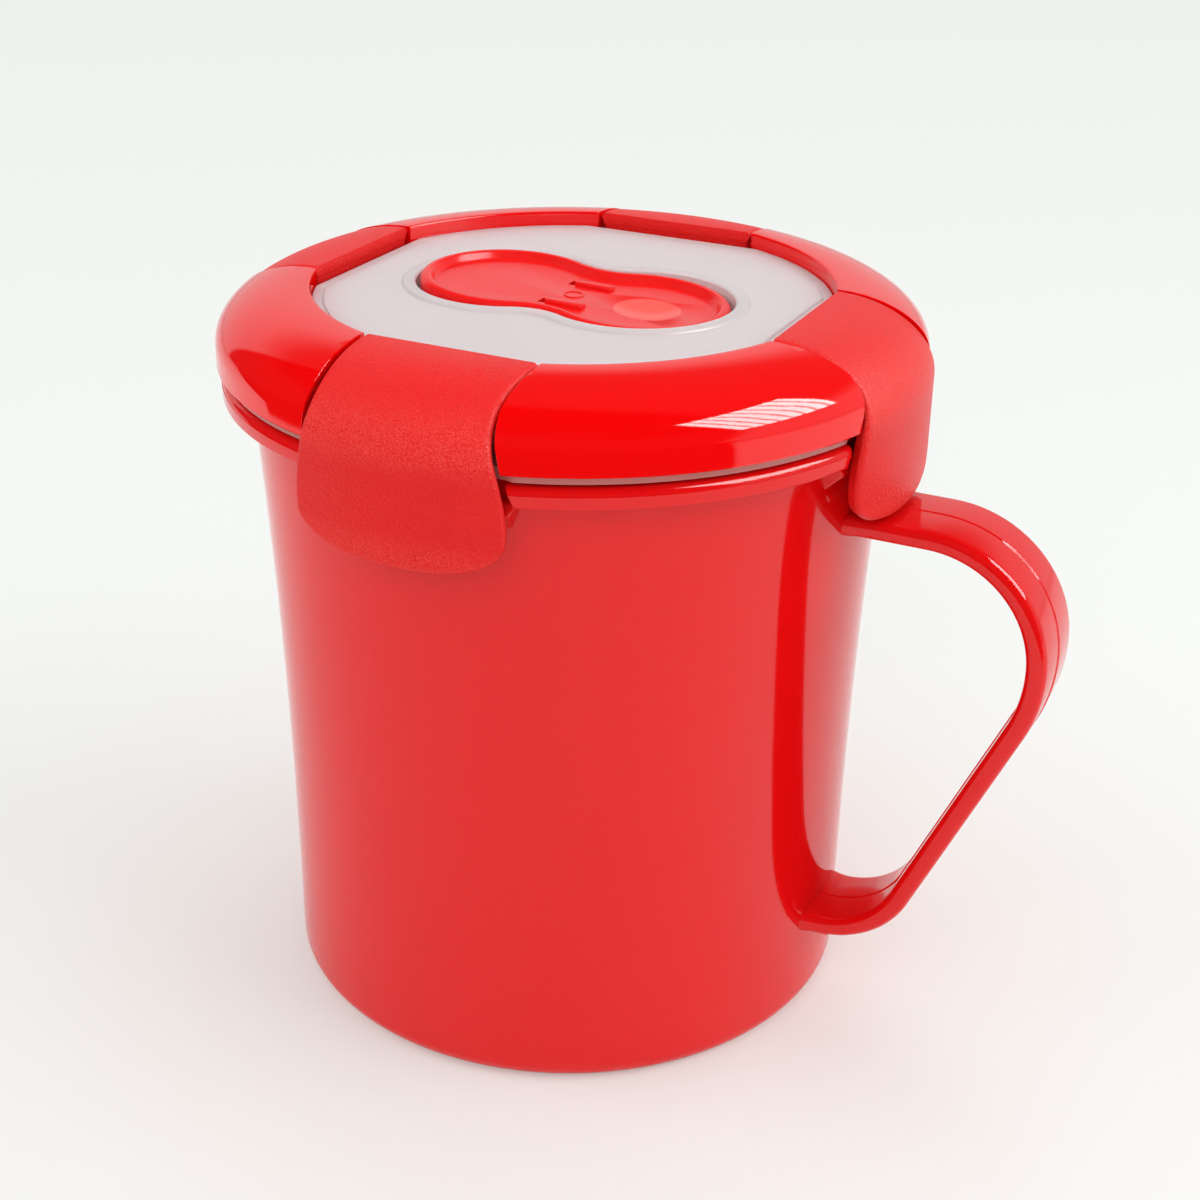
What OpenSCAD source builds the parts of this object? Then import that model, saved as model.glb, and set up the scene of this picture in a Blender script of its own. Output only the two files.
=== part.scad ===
// Lidded soup mug with four hinged clips, a strap handle and a rocking steam vent.
// Origin: centre of the mug's foot on the table. +Z up, +X towards the handle.
// The front clip faces -Y, and the others follow at quarter turns.

/* [Mug] */
// Height of the mug's rim above the table
mug_h = 108.1; // [104:0.1:114]
// Outer radius of the foot
foot_r = 47.9; // [46:0.1:50]
// How much wider the wall is under the flange than at the foot
wall_flare = 3.4; // [2.6:0.1:4]
// Thickness of the mug's wall
mug_wall = 2; // [1.6:0.1:2.4]
// Thickness of the mug's floor
mug_floor = 2.6; // [2:0.1:4]
// Radius of the rounded edge round the foot
foot_fillet = 3.2; // [2:0.1:5]
// Radius of the inside corner between floor and wall
floor_fillet = 5; // [3:0.1:8]
// How far the flange stands out from the wall
flange_w = 4.4; // [4:0.1:5]
// Thickness of the flange
flange_t = 1.9; // [1.4:0.1:2.4]
// Height of the rim above the top of the flange
rim_rise = 2.5; // [2:0.1:3]

/* [Catches] */
// How far a catch stands out from the wall
catch_w = 3; // [2.8:0.1:3.2]
// How far a catch reaches past the clip on either side
catch_spare = 0.9; // [0.5:0.1:2]
// Slope of the catch's underside, which the hook slides off
catch_slope = 42; // [38:1:46]

/* [Handle] */
// Width of the handle's strap
strap_w = 15.5; // [12:0.1:20]
// Thickness of the strap
strap_t = 3.3; // [2.6:0.1:4.5]
// Radius of the strap's rounded edges
strap_edge = 1.3; // [0.6:0.1:1.3]
// Drop from the mug's rim to the strap's top face
strap_drop = 16.1; // [15.7:0.1:20]
// Height of the strap's lower face where it meets the wall
strap_foot = 15.8; // [12:0.1:20]
// Length of the level run between the wall and the first bend
strap_run = 12.4; // [10:0.1:16]
// Outer radius of the top bend
bend_top_r = 20; // [16:0.5:24]
// Outer radius of the slow bend at the grip
bend_grip_r = 27; // [22:0.5:32]
// Outer radius of the bottom bend
bend_foot_r = 17; // [14:0.5:20]

/* [Lid ring] */
// Width of the ring from its outside to the window
ring_band = 15; // [14.4:0.1:15.6]
// How far the ring stands out past the mug's flange
ring_proud = 0.6; // [0.2:0.1:1]
// Height of the ring
ring_h = 10.8; // [10.4:0.1:11.2]
// Height of the straight skirt below the ring's shoulder
skirt_h = 2.4; // [1.6:0.1:3.2]
// Thickness of the ring's shell
ring_wall = 2.2; // [1.6:0.1:2.4]

/* [Lid panel] */
// Thickness of the panel's flange between the rim and the ring
seat_t = 1; // [0.8:0.1:1.2]
// Thickness of the window
window_t = 1.6; // [1.2:0.1:2]
// How far the window's middle lies below the ring's top
window_drop = 1.8; // [1.4:0.1:2.2]
// Rise of the very shallow dome from the window's edge to its middle
window_rise = 0.3; // [0.2:0.05:0.6]
// Depth of the plug below the rim
plug_depth = 7.9; // [7:0.1:8]
// Thickness of the plug's wall
plug_wall = 1.6; // [1.2:0.1:2]
// Thickness of the seal between plug and mug
seal_t = 1.8; // [1.6:0.1:2.4]

/* [Clips] */
// Half of a clip's width at the hinge
clip_half = 14.1; // [13.8:0.1:14.2]
// How much wider each side of a clip is at its finger end
flap_flare = 3; // [2.4:0.1:3.1]
// How far a clip stands out past the ring
clip_proud = 1; // [0.8:0.1:1.2]
// Thickness of a clip
clip_t = 2.2; // [1.8:0.1:2.4]
// Height of a whole clip from its finger end to its top
clip_h = 26.5; // [25.6:0.1:27]
// Radius of a hinge pin
pin_r = 1.2; // [1:0.05:1.3]
// Running clearance round a hinge pin
pin_fit = 0.06; // [0.04:0.01:0.09]
// Radius of a clip's hinge barrel
barrel_r = 2.4; // [2.3:0.1:2.5]
// How far a hook reaches under its catch
hook_bite = 0.9; // [0.7:0.1:0.9]

/* [Vent] */
// Radius of each lobe of the vent cap
lobe_r = 14.5; // [14.2:0.1:15]
// Distance of each lobe's centre from the middle
lobe_x = 11.3; // [10.8:0.1:11.8]
// Half of the vent cap's width at its waist
waist_half = 11.8; // [11.4:0.1:12]
// Gap between the vent cap and its well
vent_gap = 0.7; // [0.6:0.1:0.9]
// Slope of the vent cap, which leaves its plug end proud
vent_tilt = 2.4; // [2:0.1:3]
// Height of the vent cap's side
cap_h = 3.2; // [2.8:0.1:3.6]
// Depth of the vent well below the window's middle
well_depth = 9.1; // [8.6:0.1:9.6]
// Radius of the steam hole
steam_r = 2.6; // [2:0.1:3]
// Radius of the thumb dimple
thumb_r = 5.5; // [4.6:0.1:6]

/* [Hidden] */
$fn = 96;

RED = [0.86, 0.10, 0.10];
CLIP_RED = [0.90, 0.20, 0.18];
VENT_RED = [0.93, 0.24, 0.22];
MILKY = [0.86, 0.82, 0.84, 0.75];
SILICONE = [0.90, 0.90, 0.88];

// Overrun of every cut past the face that it opens
cut = 1;
// Reach of the tools that cut or keep a whole side of the lid
far = 2 * foot_r;
// Exponent of the squared-off round that shapes the ring, the clips and the finger ends
dome_share = 2.1;
// Exponent of the mug's flare, nearly straight below and widest under the flange
flare_share = 2.4;
// Steps of a computed curve
curve_steps = 12;

// Heights and radii of the mug
flange_top = mug_h - rim_rise;
flange_z = flange_top - flange_t;
neck_r = foot_r + wall_flare;
mouth_r = neck_r - mug_wall;
flange_r = neck_r + flange_w;
function wall_r(z) = foot_r + wall_flare * pow(min(z, flange_z) / flange_z, flare_share);

// Quarter of a squared-off ellipse from its low outer end to its high inner end
function dome(r_in, r_out, z_low, z_high) =
    [for (i = [0 : curve_steps]) let (a = 90 * i / curve_steps)
        [r_in + (r_out - r_in) * pow(cos(a), 2 / dome_share),
         z_low + (z_high - z_low) * pow(sin(a), 2 / dome_share)]];
// Points of a quarter round about a centre
function round_pts(c, r, from, to, steps = 5) =
    [for (i = [0 : steps]) let (a = from + (to - from) * i / steps) [c[0] + r * cos(a), c[1] + r * sin(a)]];

// Half widths of a clip's finger end and of its catch
flap_half = clip_half + flap_flare;
catch_half = flap_half + catch_spare;

// The four stations of the clips
module at_clip(i) rotate([0, 0, 90 * i]) children();
module at_clips() for (i = [0 : 3]) at_clip(i) children();
// A front-view outline in x and z, pushed out from d to the outside on the front
module front_prism(d, depth) rotate([90, 0, 0]) translate([0, 0, d]) linear_extrude(depth) children();
// A sector of a revolved profile round the front clip
sector = 60;
module front_revolve() rotate([0, 0, -90 - sector / 2]) rotate_extrude(angle = sector) children();

// Mug body

foot_steps = 6;
wall_steps = 10;
module mug_outside() {
    wall_pts = [for (i = [1 : wall_steps]) let (z = foot_fillet + (flange_z - foot_fillet) * i / wall_steps)
        [wall_r(z), z]];
    rotate_extrude() polygon(concat([[0, 0]],
        round_pts([wall_r(foot_fillet) - foot_fillet, foot_fillet], foot_fillet, -90, 0, foot_steps),
        wall_pts, [[neck_r, mug_h], [0, mug_h]]));
}
module mug_inside() {
    z0 = mug_floor + floor_fillet;
    wall_pts = [for (i = [1 : wall_steps]) let (z = z0 + (flange_z - z0) * i / wall_steps)
        [wall_r(z) - mug_wall, z]];
    rotate_extrude() polygon(concat([[0, mug_floor]],
        round_pts([wall_r(z0) - mug_wall - floor_fillet, z0], floor_fillet, -90, 0, foot_steps),
        wall_pts, [[mouth_r, mug_h + cut], [0, mug_h + cut]]));
}

catch_r = neck_r + catch_w;
catch_nose = 0.8;
// Height of the lower corner of the catch's nose
catch_nose_z = flange_z - flange_t;
module catch_ring() {
    drop = (catch_w + mug_wall / 2) * tan(catch_slope);
    rotate_extrude() polygon([[neck_r - mug_wall / 2, catch_nose_z - drop], [catch_r, catch_nose_z],
        [catch_r, catch_nose_z + catch_nose], [catch_r - catch_nose, flange_z], [neck_r - mug_wall / 2, flange_z]]);
}

module mug_body() {
    color(RED) difference() {
        union() {
            mug_outside();
            difference() {
                translate([0, 0, flange_z]) cylinder(h = flange_t, r = flange_r);
                at_clips() translate([-catch_half, -far, flange_z - cut])
                    cube([2 * catch_half, far - neck_r, flange_t + 2 * cut]);
            }
            intersection() {
                catch_ring();
                at_clips() translate([-catch_half, -far, 0]) cube([2 * catch_half, far - foot_r + mug_wall, mug_h]);
            }
        }
        mug_inside();
    }
}

// Handle: a strap with rounded edges, swept round three bends in the plane y = 0

grip_heading = 88;
leg_heading = 114;
level_heading = 180;
bend_steps = 9;
edge_steps = 4;
// Outward normal and forward direction of the strap at a heading, in x and z
function out_of(h) = [sin(h), cos(h)];
function along(h) = [cos(h), -sin(h)];
strap_top = mug_h - strap_drop;
top_c = [neck_r + strap_run - cut, strap_top - bend_top_r];
grip_c = top_c + (bend_top_r - bend_grip_r) * out_of(grip_heading);
strap_leg = (grip_c[1] + (bend_grip_r - bend_foot_r) * cos(leg_heading) - bend_foot_r - strap_foot)
    / sin(leg_heading);
leg_end = grip_c + bend_grip_r * out_of(leg_heading) + strap_leg * along(leg_heading);
foot_c = leg_end - bend_foot_r * out_of(leg_heading);
// Stations [point of the outer face, heading] along a bend and along the whole strap
function bend(c, r, from, to) =
    [for (i = [0 : bend_steps]) let (h = from + (to - from) * i / bend_steps) [c + r * out_of(h), h]];
stations = concat(
    [[[neck_r - mug_wall, strap_top], 0]],
    bend(top_c, bend_top_r, 0, grip_heading),
    [for (i = [1 : bend_steps]) bend(grip_c, bend_grip_r, grip_heading, leg_heading)[i]],
    bend(foot_c, bend_foot_r, leg_heading, level_heading),
    [[[foot_r - mug_wall, foot_c[1] - bend_foot_r], level_heading]]);
// Section [across, depth] of the strap, one rounded edge after another
section = [for (k = [0 : 3], i = [0 : edge_steps]) let (a = 90 * (k + i / edge_steps),
    sx = k == 0 || k == 3 ? 1 : -1, sy = k < 2 ? 1 : -1)
    [sx * (strap_w / 2 - strap_edge) + strap_edge * cos(a),
     sy * (strap_t / 2 - strap_edge) + strap_edge * sin(a) - strap_t / 2]];

module strap() {
    n = len(section);
    last = len(stations) - 1;
    pts = [for (s = stations, q = section) let (p = s[0] + q[1] * out_of(s[1])) [p[0], q[0], p[1]]];
    sides = [for (i = [0 : last - 1], j = [0 : n - 1])
        [i * n + j, (i + 1) * n + j, (i + 1) * n + (j + 1) % n, i * n + (j + 1) % n]];
    polyhedron(pts, concat([[for (j = [0 : n - 1]) j]], sides, [[for (j = [n - 1 : -1 : 0]) last * n + j]]));
}

module mug_handle() {
    color(RED) difference() {
        strap();
        mug_outside();
    }
}

// Lid: the clear panel carries the plug, the seat on the rim and the vent well

ring_r = flange_r + ring_proud;
window_r = ring_r - ring_band;
ring_z = mug_h + seat_t;
ring_top = ring_z + ring_h;
clip_r = ring_r + clip_proud;
// Distance of a clip's straight inner edge from the axis
chord_d = sqrt(pow(window_r + pin_r / 4, 2) - pow(clip_half, 2));
// Hinge axis: distance from the mug's axis, and height
hinge_d = chord_d + barrel_r;
hinge_z = ring_top - barrel_r - pin_fit;
// Reach of a clip's inner corner round its hinge, with clearance
corner_sweep = sqrt(pow(barrel_r, 2) + pow(ring_top - hinge_z, 2)) + 4 * pin_fit;

panel_fit = 0.2;
panel_r = window_r - panel_fit;
panel_half = hinge_d - corner_sweep;
border_w = 1.8;
border_step = 0.2;
window_z = ring_top - window_drop;
border_z = window_z - window_rise - border_step;
seat_r = ring_r - seat_t;
// Radius of the seat and the web where a clip passes outside them
clip_inner_r = clip_r - clip_t;
bay_r = clip_inner_r - hook_bite - ring_wall;
plug_r = mouth_r - seal_t - 2 * panel_fit;
plug_z = mug_h - plug_depth;
lip_t = 1.3;
lip_r = plug_r + seal_t / 2;

module window_outline(inset = 0) {
    intersection() {
        circle(panel_r - inset);
        square(2 * (panel_half - inset), center = true);
    }
}
// Solid above or below the domed face of the window, moved by dz
module dome_cap(dz, above) {
    edge = ring_r;
    sag = window_rise * pow(edge / window_r, 2);
    end_z = above ? window_z + ring_h : plug_z - cut;
    face = [for (i = [0 : curve_steps]) let (r = edge * i / curve_steps)
        [r, window_z + dz - sag * pow(r / edge, 2)]];
    rotate_extrude() polygon(concat(face, [[edge, end_z], [0, end_z]]));
}

// Vent cap outline: two lobes and a waist, grown by g
waist_r = (pow(lobe_x, 2) + pow(waist_half, 2) - pow(lobe_r, 2)) / (2 * (lobe_r - waist_half));
waist_y = waist_half + waist_r;
waist_share = waist_r / (waist_r + lobe_r);
module peanut(g = 0) {
    difference() {
        union() {
            for (s = [-1, 1]) translate([s * lobe_x, 0]) circle(lobe_r + g);
            square([2 * waist_share * lobe_x, 2 * waist_y * (1 - waist_share)] + [0, 2 * g], center = true);
        }
        for (s = [-1, 1]) translate([0, s * waist_y]) circle(waist_r - g);
    }
}

well_wall = 1.4;
well_floor_t = 1.3;
collar_w = 2.9;
collar_h = 0.2;
well_floor_z = window_z - well_depth;
seat_ring_w = 1;
seat_ring_h = 0.8;
steam_x = -lobe_x - lobe_r / 4;
// Rocking axis of the vent cap
vent_z = window_z - cap_h / 2;
trunnion_r = 1.2;
trunnion_y = waist_half + vent_gap + well_wall * 0.75;

module clip_bay(half, d) {
    at_clips() translate([-half, -far, mug_h - cut]) cube([2 * half, far - d, seat_t + 2 * cut]);
}

module lid_panel() {
    color(MILKY) difference() {
        union() {
            translate([0, 0, mug_h]) linear_extrude(ring_h) window_outline();
            difference() {
                translate([0, 0, mug_h]) cylinder(h = seat_t, r = seat_r);
                clip_bay(flap_half, bay_r);
            }
            translate([0, 0, plug_z]) cylinder(h = plug_depth + seat_t / 2, r = plug_r);
            translate([0, 0, plug_z]) cylinder(h = lip_t, r = lip_r);
        }
        dome_cap(collar_h, true);
        difference() {
            dome_cap(0, true);
            translate([0, 0, plug_z]) linear_extrude(far) peanut(collar_w);
        }
        difference() {
            translate([0, 0, border_z]) cylinder(h = ring_h, r = far);
            translate([0, 0, plug_z]) linear_extrude(far) window_outline(border_w);
        }
        difference() {
            union() {
                translate([0, 0, plug_z - cut]) cylinder(h = plug_depth + cut, r = plug_r - plug_wall);
                intersection() {
                    translate([0, 0, plug_z - cut]) linear_extrude(border_z - window_t - plug_z + cut)
                        window_outline(plug_wall);
                    dome_cap(-window_t, false);
                }
                intersection() {
                    translate([0, 0, plug_z - cut]) linear_extrude(far) window_outline(border_w + window_t);
                    dome_cap(-window_t, false);
                }
            }
            translate([0, 0, well_floor_z - well_floor_t]) linear_extrude(well_depth + well_floor_t)
                peanut(vent_gap + well_wall);
        }
        difference() {
            translate([0, 0, well_floor_z]) linear_extrude(well_depth + ring_h) peanut(vent_gap);
            translate([steam_x, 0, well_floor_z]) cylinder(h = seat_ring_h, r = steam_r + seat_ring_w);
        }
        translate([steam_x, 0, well_floor_z - 2 * well_floor_t]) cylinder(h = 4 * well_floor_t, r = steam_r);
        translate([0, 0, vent_z]) rotate([90, 0, 0])
            cylinder(h = 2 * (trunnion_y + pin_fit), r = trunnion_r + pin_fit, center = true);
    }
}

// Seal ring round the plug, with two soft lips

lip_bulge = seal_t / 2;
module seal_ring() {
    z0 = plug_z + lip_t;
    h = mug_h - z0;
    root = plug_r + pin_fit;
    lips = [for (k = [0, 1], i = [0 : 6]) let (a = -90 + 30 * i)
        [root + seal_t / 2 + lip_bulge * cos(a), z0 + h * (0.27 + 0.46 * k) + h * 0.17 * sin(a)]];
    color(SILICONE) rotate_extrude() polygon(concat([[root, z0], [root + seal_t / 2, z0]], lips,
        [[root + seal_t / 2, mug_h], [root, mug_h]]));
}

// Lid ring: a hollow dome with four bays, each with a cheek either side for the hinge pin

cheek_t = 3.6;
bay_gap = 0.4;
bay_flare = 2.1;
web_t = 1.8;
socket_end = clip_half + bay_gap + 0.7 * cheek_t;
shoulder_z = ring_z + skirt_h;
// Above this height a bay's sides are upright, and below it they spread as the clip does
bay_knee_z = ring_top - ring_h / 4;

module ring_outside()
    rotate_extrude() polygon(concat([[window_r, ring_z], [ring_r, ring_z]],
        dome(window_r, ring_r, shoulder_z, ring_top)));
module ring_void()
    rotate_extrude() polygon(concat([[window_r + ring_wall, ring_z - cut], [ring_r - ring_wall, ring_z - cut]],
        dome(window_r + ring_wall, ring_r - ring_wall, shoulder_z, ring_top - ring_wall)));
module ring_web()
    translate([0, 0, ring_z]) difference() {
        cylinder(h = web_t, r = bay_r);
        translate([0, 0, -cut]) cylinder(h = web_t + 2 * cut, r = window_r);
    }
module ring_bay(grow) {
    half = clip_half + bay_gap + grow;
    front_prism(panel_half, far)
        polygon([[-half - bay_flare, ring_z - cut], [half + bay_flare, ring_z - cut],
            [half, bay_knee_z], [half, ring_top + cut], [-half, ring_top + cut], [-half, bay_knee_z]]);
}

module lid_ring() {
    color(RED) difference() {
        ring_outside();
        difference() {
            ring_void();
            at_clips() ring_bay(cheek_t);
        }
        difference() {
            at_clips() ring_bay(0);
            ring_web();
        }
        at_clips() translate([0, -hinge_d, hinge_z]) rotate([0, 90, 0])
            cylinder(h = 2 * (socket_end + pin_fit), r = pin_r + pin_fit, center = true);
    }
}

// Clips: a curved flap with a hinge barrel, a hook that grips the catch, and two ribs

clip_shoulder_z = ring_z - ring_wall / 4;
clip_foot_z = ring_top - clip_h;
flap_round_h = 8.3;
flap_z = clip_foot_z + flap_round_h;
flare_z = ring_top - ring_h * 0.4;
hook_half = 9;
hook_gap = 0.45;
hook_t = clip_t / 2;
rib_half = 0.6;
rib_x = hook_half * 0.8;
rib_h = 1.2;

// Half width of the flap at height z above its rounded end
function clip_w(z) = let (u = min(max((z - flap_z) / (flare_z - flap_z), 0), 1))
    flap_half - (flap_half - clip_half) * u * u * (3 - 2 * u);
module clip_outline() {
    tip = [for (i = [1 : curve_steps]) let (a = 90 - 90 * i / curve_steps)
        [flap_half * pow(cos(a), 2 / dome_share), flap_z - flap_round_h * pow(sin(a), 2 / dome_share)]];
    side = [for (i = [1 : curve_steps]) let (z = flap_z + (flare_z - flap_z) * i / curve_steps) [clip_w(z), z]];
    right = concat([[0, clip_foot_z]], tip, side, [[clip_half, ring_top + cut]]);
    n = len(right);
    left = [for (i = [n - 1 : -1 : 1]) [-right[i][0], right[i][1]]];
    polygon(concat(right, left));
}
module clip_outside()
    front_revolve() polygon(concat([[cut, clip_foot_z - cut], [clip_r, clip_foot_z - cut]],
        dome(window_r, clip_r, clip_shoulder_z, ring_top), [[cut, ring_top]]));
module clip_void(t)
    front_revolve() polygon(concat([[cut / 2, clip_foot_z - 2 * cut], [clip_r - t, clip_foot_z - 2 * cut]],
        dome(window_r, clip_r - t, clip_shoulder_z, ring_top - t), [[cut / 2, ring_top - t]]));

// The hook's sloped face runs parallel to the catch's underside, hook_gap below it
hook_tip_r = catch_r - hook_bite;
function hook_face(r) = catch_nose_z + (r - catch_r) * tan(catch_slope) - hook_gap / cos(catch_slope);
module clip_hook() {
    root_r = clip_inner_r + hook_t;
    intersection() {
        front_revolve() polygon([[hook_tip_r, hook_face(hook_tip_r)], [hook_tip_r, hook_face(hook_tip_r) - hook_t],
            [clip_inner_r, hook_face(hook_tip_r) - 3 * hook_t], [root_r, hook_face(hook_tip_r) - 3 * hook_t],
            [root_r, hook_face(root_r)]]);
        translate([-hook_half, -far, 0]) cube([2 * hook_half, far, ring_top]);
    }
}
module clip_ribs() {
    difference() {
        for (s = [-1, 1]) translate([s * rib_x - rib_half, -far, flange_top])
            cube([2 * rib_half, far - hinge_d, ring_top - flange_top]);
        clip_void(clip_t + rib_h);
    }
}
module clip_barrel() {
    translate([0, -hinge_d, hinge_z]) rotate([0, 90, 0]) cylinder(h = 2 * clip_half, r = barrel_r, center = true);
    translate([-clip_half, -hinge_d, hinge_z]) cube([2 * clip_half, barrel_r, ring_top - hinge_z]);
}

module clip() {
    color(CLIP_RED) difference() {
        intersection() {
            clip_outside();
            front_prism(chord_d, far) clip_outline();
        }
        difference() {
            clip_void(clip_t);
            clip_barrel();
            clip_hook();
            clip_ribs();
        }
        translate([0, -hinge_d, hinge_z]) rotate([0, 90, 0])
            cylinder(h = 2 * (clip_half + cut), r = pin_r + pin_fit, center = true);
    }
}
module clip_front() at_clip(0) clip();
module clip_right() at_clip(1) clip();
module clip_back() at_clip(2) clip();
module clip_left() at_clip(3) clip();

// Hinge pins, from cheek to cheek through a clip's barrel

module clip_pin()
    color(RED) translate([0, -hinge_d, hinge_z]) rotate([0, 90, 0])
        cylinder(h = 2 * socket_end, r = pin_r, center = true, $fn = 32);
module clip_pin_front() at_clip(0) clip_pin();
module clip_pin_right() at_clip(1) clip_pin();
module clip_pin_back() at_clip(2) clip_pin();
module clip_pin_left() at_clip(3) clip_pin();

// Vent cap: a dished rocker on two trunnions, with a boss that carries the bung

cap_wall = 1.5;
dish_depth = 1.2;
dish_t = 1.2;
thumb_depth = 0.9;
boss_r = 2.9;
bung_r = steam_r + seat_ring_w + 0.6;
bung_t = 1.6;
stem_r = boss_r / 2;
bung_z = well_floor_z + seat_ring_h;
lug_l = 6.2;
lug_w = 2.4;
lug_h = 0.8;
lug_y = waist_half * 0.45;
slot_l = 1.2;
// The cap's own frame: x along it, z = 0 on the rocking axis, turned by its slope
module cap_frame() translate([0, 0, vent_z]) rotate([0, vent_tilt, 0]) children();
cap_top = window_z + collar_h - vent_z;
dish_z = cap_top - dish_depth;

module vent_cap() {
    color(VENT_RED) difference() {
        union() {
            cap_frame() difference() {
                translate([0, 0, cap_top - cap_h]) linear_extrude(cap_h) peanut();
                translate([0, 0, dish_z]) linear_extrude(dish_depth + cut) peanut(-cap_wall);
                translate([0, 0, cap_top - cap_h - cut]) linear_extrude(cap_h + cut - dish_depth - dish_t)
                    peanut(-cap_wall);
                thumb_ball_r = (pow(thumb_r, 2) + pow(thumb_depth, 2)) / (2 * thumb_depth);
                translate([lobe_x + thumb_r / 2, 0, dish_z - thumb_depth + thumb_ball_r]) sphere(thumb_ball_r);
            }
            cap_frame() for (s = [-1, 1]) translate([-lug_l / 2, s * lug_y - lug_w / 2, dish_z - dish_t / 2])
                cube([lug_l, lug_w, lug_h + dish_t / 2]);
            translate([0, 0, vent_z]) rotate([90, 0, 0]) difference() {
                cylinder(h = 2 * trunnion_y, r = trunnion_r, center = true, $fn = 32);
                cylinder(h = 2 * (waist_half - cap_wall), r = 2 * trunnion_r, center = true);
            }
            translate([steam_x, 0, bung_z + bung_t])
                cylinder(h = vent_z + dish_z - dish_t / 2 - bung_z - bung_t, r = boss_r);
        }
        cap_frame() for (s = [-1, 1]) translate([-lug_l / 2 - slot_l, s * lug_y - lug_w / 2, dish_z - dish_t - cut])
            cube([slot_l, lug_w, dish_t + 2 * cut]);
        translate([steam_x, 0, bung_z]) cylinder(h = 2 * bung_t, r = stem_r + pin_fit);
    }
}

module vent_bung() {
    color(SILICONE) translate([steam_x, 0, bung_z]) {
        cylinder(h = bung_t, r = bung_r);
        cylinder(h = 2 * bung_t - pin_fit, r = stem_r);
    }
}

mug_body();
mug_handle();
lid_panel();
lid_ring();
seal_ring();
clip_front();
clip_right();
clip_back();
clip_left();
clip_pin_front();
clip_pin_right();
clip_pin_back();
clip_pin_left();
vent_cap();
vent_bung();
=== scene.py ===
import bmesh
import bpy
from math import atan2, cos, pi, radians, sin, sqrt
from mathutils import Matrix, Vector


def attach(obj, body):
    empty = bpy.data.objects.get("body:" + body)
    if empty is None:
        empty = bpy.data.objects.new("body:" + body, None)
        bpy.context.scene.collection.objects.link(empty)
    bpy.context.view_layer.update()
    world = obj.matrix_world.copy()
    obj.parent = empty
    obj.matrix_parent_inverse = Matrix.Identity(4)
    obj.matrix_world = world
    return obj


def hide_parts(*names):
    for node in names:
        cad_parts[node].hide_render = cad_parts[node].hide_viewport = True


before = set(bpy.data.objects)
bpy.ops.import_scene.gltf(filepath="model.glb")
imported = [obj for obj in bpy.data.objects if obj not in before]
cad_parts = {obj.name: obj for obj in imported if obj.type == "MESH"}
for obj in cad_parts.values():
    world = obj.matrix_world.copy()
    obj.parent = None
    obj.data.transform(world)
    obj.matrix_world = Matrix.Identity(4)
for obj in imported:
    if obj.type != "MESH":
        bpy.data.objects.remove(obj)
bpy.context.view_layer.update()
bpy.ops.object.select_all(action='DESELECT')

# The mug: wall, floor, rim, flange and four catches.
# Injection moulded polypropylene with a high polish on the outside.
# The flange is broken at the four clips, and a wedge under each break catches the clip's hook.

mm = 0.001
rim_z = 108.1 * mm
neck_r = 51.3 * mm
foot_r = 47.9 * mm
wall_flare = 3.4 * mm
flare_power = 2.4
wall = 2.0 * mm
floor_z = 2.6 * mm
flange_low_z, flange_high_z = 103.7 * mm, 105.6 * mm
flange_r = 55.7 * mm
notch_half, notch_lean = 17.5 * mm, 0.9 * mm
catch_half, catch_taper = 16.9 * mm, 2.2 * mm
round_sides = 240


def bend(r, z, radius, start, end, steps=5):
    """Points of a rounded corner, in distance from the axis and height."""
    angles = [radians(start + (end - start) * i / steps) for i in range(steps + 1)]
    return [(r + radius * cos(a), z + radius * sin(a)) for a in angles]


def wall_reach(z):
    """Outer radius of the mug's wall at a height."""
    return foot_r + wall_flare * (min(z, flange_low_z) / flange_low_z) ** flare_power


def finish_mesh(piece, crease=32):
    """Merges doubles, points the faces outwards and shades the piece smooth up to the crease angle."""
    bpy.ops.object.mode_set(mode='EDIT')
    bpy.ops.mesh.select_all(action='SELECT')
    bpy.ops.mesh.remove_doubles(threshold=0.002 * mm)
    bpy.ops.mesh.normals_make_consistent(inside=False)
    bpy.ops.object.mode_set(mode='OBJECT')
    bpy.ops.object.shade_smooth_by_angle(angle=radians(crease))
    return piece


def pull_rings(name, rings, sides=round_sides, crease=32):
    """A skin pulled up from a circle ring by ring. Each ring is a reach and a height, as numbers or as
    functions: the reach of the bearing, and the height of the reach."""
    bpy.ops.object.select_all(action='DESELECT')
    bpy.ops.mesh.primitive_circle_add(vertices=sides, radius=mm, fill_type='NOTHING')
    piece = bpy.context.object
    piece.name = name
    bpy.ops.object.mode_set(mode='EDIT')
    for step, (reach, height) in enumerate(rings):
        if step:
            bpy.ops.mesh.extrude_region_move()
        skin = bmesh.from_edit_mesh(piece.data)
        for vert in skin.verts:
            if vert.select:
                bearing = atan2(vert.co.y, vert.co.x)
                r = reach(bearing) if callable(reach) else reach
                z = height(r) if callable(height) else height
                vert.co = (r * cos(bearing), r * sin(bearing), z)
        bmesh.update_edit_mesh(piece.data)
    bpy.ops.mesh.select_all(action='SELECT')
    bpy.ops.mesh.remove_doubles(threshold=0.002 * mm)
    bpy.ops.mesh.fill_holes(sides=0)
    bpy.ops.object.mode_set(mode='OBJECT')
    return finish_mesh(piece, crease)


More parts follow.
